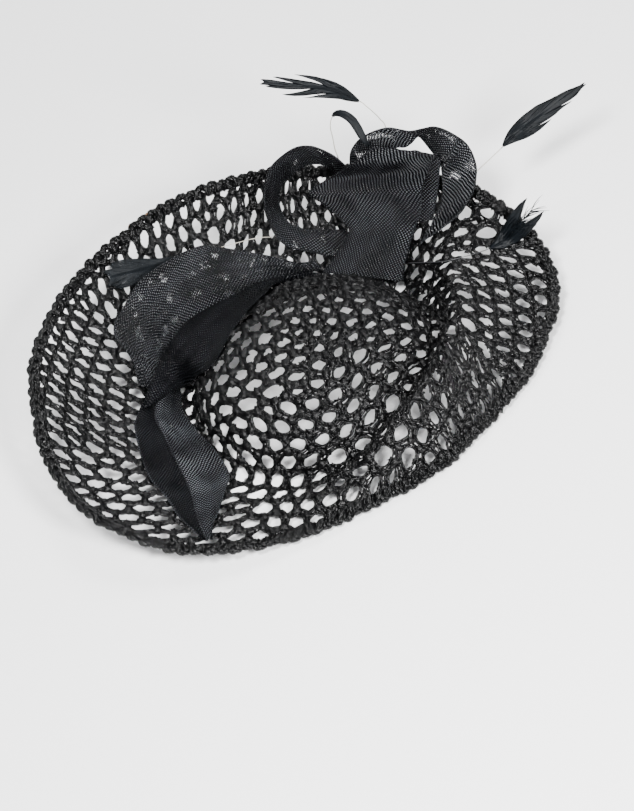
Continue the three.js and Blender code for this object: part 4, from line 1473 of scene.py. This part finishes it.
@dataclass
class FeatherSpray:
    """The five stripped feathers that stand out of the bow and lie along the brim."""

    left_up: Sequence = (
        (85.6, 99.2, 45.2, 0.7), (88.7, 107, 55.1, 0.7), (91.2, 107, 72.2, 0.7), (89.7, 107, 79.2, 0.7),
        (87.2, 107, 86, 0.7), (84.5, 107, 92, 0.8), (82.6, 108, 95.3, 0.9), (77.6, 109, 100.9, 2.3),
        (71.2, 110, 108, 3.7), (62.3, 112, 114, 5.5), (52.8, 113, 118.7, 7.2), (44.6, 115, 122.4, 6.3),
        (37.5, 116, 126.7, 4), (33.9, 117, 128.2, 2),
    )
    right_up: Sequence = (
        (113.9, 62.2, 37.2, 0.7), (122.4, 65.5, 42.3, 0.7), (129.7, 70, 45.7, 0.7), (139.8, 77, 45, 0.7),
        (149.2, 83, 44.7, 1), (157.6, 86, 47.2, 4.4), (167.1, 90, 47.2, 6.7), (177.6, 91, 50.3, 6.4),
        (188.6, 92, 53.1, 4.4), (198.1, 93, 54.7, 3.5), (207.4, 95, 56.4, 0.7),
    )
    curled: Sequence = (
        (59, 115, 42.8, 0.7), (59.3, 113, 58, 0.7), (59.3, 112, 66.8, 0.7), (60.3, 111, 76.6, 0.7),
        (60.9, 110, 84.2, 0.7), (62.8, 109, 90.4, 0.8), (66, 106, 95.8, 1), (70.2, 103, 96, 1.8),
        (73.5, 99, 93.1, 2.3), (74.9, 95, 88.8, 2.4), (75.8, 91, 83.7, 2.2), (77, 89, 79.1, 0.9),
    )
    right_edge: Sequence = (
        (73.7, 47.5, 20, 0.7), (82.4, 36.3, 25.4, 0.7), (93.1, 21.1, 33.9, 0.7), (107.2, 20.8, 31.6, 0.7),
        (118.3, 23.8, 28.1, 0.9), (126, 24.6, 28, 1.7), (131.6, 26.3, 28.8, 3.9), (138.1, 24, 35.4, 6.6),
        (145.7, 25, 40.2, 7.6), (152, 26, 44, 6.4), (155.5, 26.7, 46, 3.6),
    )
    left_edge: Sequence = (
        (6.2, 108.5, 25.1, 0.7), (-2.3, 111, 26.6, 0.7), (-12.5, 111.9, 27.8, 0.7),
        (-23.5, 112.3, 29.1, 0.7), (-40.1, 112.2, 31.1, 0.8), (-57.8, 109.7, 35.3, 1.8),
        (-67.5, 108.4, 37.8, 4.1), (-77.5, 106.6, 41.6, 7.1), (-86.3, 105.8, 44, 8.5),
        (-92.4, 104.8, 45.5, 4.7),
    )

    def build(self) -> None:
        """Builds the feathers and gives them their finishes."""
        # Dyed goose biot: fine smooth barbs lying together, black with a steel sheen.
        biot = MottledFinish("plume_barbs", "#060708", "#0c1014", 0.42, tone_mm=3.2, tone_detail=3.0,
                             grain_mm=0.8, grain_depth=0.2, grain_strength=0.3, specular=0.1)
        barb = biot.material()
        # A thin worn vane, which lets half the light past.
        sheer = replace(biot, name="plume_sheer", second="#24282c", cover=0.5).material()
        # Stripped quill: smooth horn with a soft shine, left pale or dyed with the barbs.
        horn = MottledFinish("quill_horn", "#b9b4a8", "#8f8a80", 0.4).material()
        dyed = MottledFinish("quill_dyed", "#3a3b3d", "#1c1d1f", 0.4).material()
        left_up = Feather("feather_left_up", self.left_up, vane_from=0.48, clumps=6, split=0.6, gather=0.75)
        right_up = Feather("feather_right_up", self.right_up, vane_from=0.42, clumps=4, split=0.25,
                           gather=0.15)
        curled = Feather("feather_curled", self.curled, vane_from=0.5, split=0.15)
        right_edge = Feather("feather_right_edge", self.right_edge, vane_from=0.42, split=0.08, barbs_to=0.66,
                             gather=0.1, barb_half=1.0, quill_half=0.25, wisps=40)
        left_edge = Feather("feather_left_edge", self.left_edge, vane_from=0.42, split=0.1, gather=0.1,
                            barb_half=0.9, quill_half=0.25)
        left_up.build(barb, horn)
        right_up.build(barb, horn)
        curled.build(barb, horn)
        right_edge.build(barb, dyed)
        left_edge.build(sheer, horn)


@dataclass(frozen=True)
class HairComb:
    """The comb under the plate, which keeps the frame's own shape."""

    node: str = "hair_comb"
    # Moulded plastic: smooth from the tool, so it shines softly.
    finish: MottledFinish = MottledFinish("comb_plastic", "#3a343a", "#433b42", 0.3)

    def dress(self, nodes: dict) -> None:
        """Gives the comb its finish.

        Args:
            nodes: the frame's objects by name.
        """
        materials = nodes[self.node].data.materials
        materials.clear()
        materials.append(self.finish.material())


# The studio
@dataclass(frozen=True)
class Studio:
    """Pale floor, soft light and the camera."""

    # the view: the middle of it, the camera's own directions, how far it stands and how much it takes in
    target: tuple = (-28.42, -22.66, -8.93)
    right: tuple = (0.92913, -0.25217, -0.27042)
    up: tuple = (0.36975, 0.63367, 0.67952)
    back: tuple = (0.0, -0.73135, 0.68200)
    distance: float = 1900.0
    view_height: float = 465.5
    sensor: float = 36.0
    farthest: float = 20.0
    # the floor and the sky
    floor_color: str = "#f6f6f6"
    floor_half: float = 6.0
    floor_roughness: float = 0.9
    floor_specular: float = 0.1
    sky_color: tuple = (0.95, 0.97, 1.0, 1.0)
    sky_strength: float = 0.38
    # lamps: name, place and size in metres, and power in watts
    lamps: Sequence = (
        ("key", (-0.25, -0.7, 1.3), 0.35, 44.0),
        ("front", (0.45, -1.1, 0.8), 0.3, 46.0),
        ("back", (0.3, 1.0, 1.3), 0.7, 22.0),
    )

    def camera(self) -> None:
        """A camera at the picture's angle, far enough for its flat perspective."""
        data = bpy.data.cameras.new("camera")
        data.sensor_width = self.sensor
        data.lens = self.sensor * self.distance / self.view_height
        data.clip_end = self.farthest
        camera = bpy.data.objects.new("camera", data)
        bpy.context.scene.collection.objects.link(camera)
        turn = Matrix((self.right, self.up, self.back)).transposed().to_4x4()
        place = (Vector(self.target) + Vector(self.back) * self.distance) * MM
        camera.matrix_world = Matrix.Translation(place) @ turn
        bpy.context.scene.camera = camera

    def floor(self) -> None:
        """A plain pale floor, painted matt."""
        mesh = bpy.data.meshes.new("floor")
        half = self.floor_half
        mesh.from_pydata([(-half, -half, 0), (half, -half, 0), (half, half, 0), (-half, half, 0)], [],
                         [(0, 1, 2, 3)])
        floor = bpy.data.objects.new("floor", mesh)
        bpy.context.scene.collection.objects.link(floor)
        material, tree = blank_material("floor_paint")
        finish_material(tree, add_node(tree, "ShaderNodeBsdfPrincipled", {
            "Base Color": linear(self.floor_color), "Roughness": self.floor_roughness,
            "Specular IOR Level": self.floor_specular}))
        mesh.materials.append(material)

    def light(self) -> None:
        """An even pale sky, and soft lamps high at the left, in front and behind."""
        world = bpy.data.worlds.new("studio")
        world.use_nodes = True
        sky = world.node_tree.nodes["Background"]
        sky.inputs["Color"].default_value = self.sky_color
        sky.inputs["Strength"].default_value = self.sky_strength
        bpy.context.scene.world = world
        for name, place, size, power in self.lamps:
            data = bpy.data.lights.new(name, "AREA")
            data.size = size
            data.energy = power
            lamp = bpy.data.objects.new(name, data)
            lamp.location = place
            lamp.rotation_euler = (-Vector(place)).to_track_quat("-Z", "Y").to_euler()
            bpy.context.scene.collection.objects.link(lamp)


def main() -> None:
    """Builds the fascinator over the frame."""
    logging.basicConfig(level=logging.INFO, format="%(name)s: %(message)s")
    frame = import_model()
    studio = Studio()
    studio.camera()
    studio.floor()
    studio.light()
    plate = PlateSurface()
    net = KnottedNet(plate)
    straw = RaffiaStraw().material()
    net.build(straw)
    KnottedRim(plate, net).build(straw)
    finishes = sinamay_finishes()
    SinamaySwathe().build(plate, finishes)
    SinamayBow().build(plate, finishes)
    FeatherSpray().build()
    HairComb().dress(frame["nodes"])


if __name__ == "__main__":
    main()
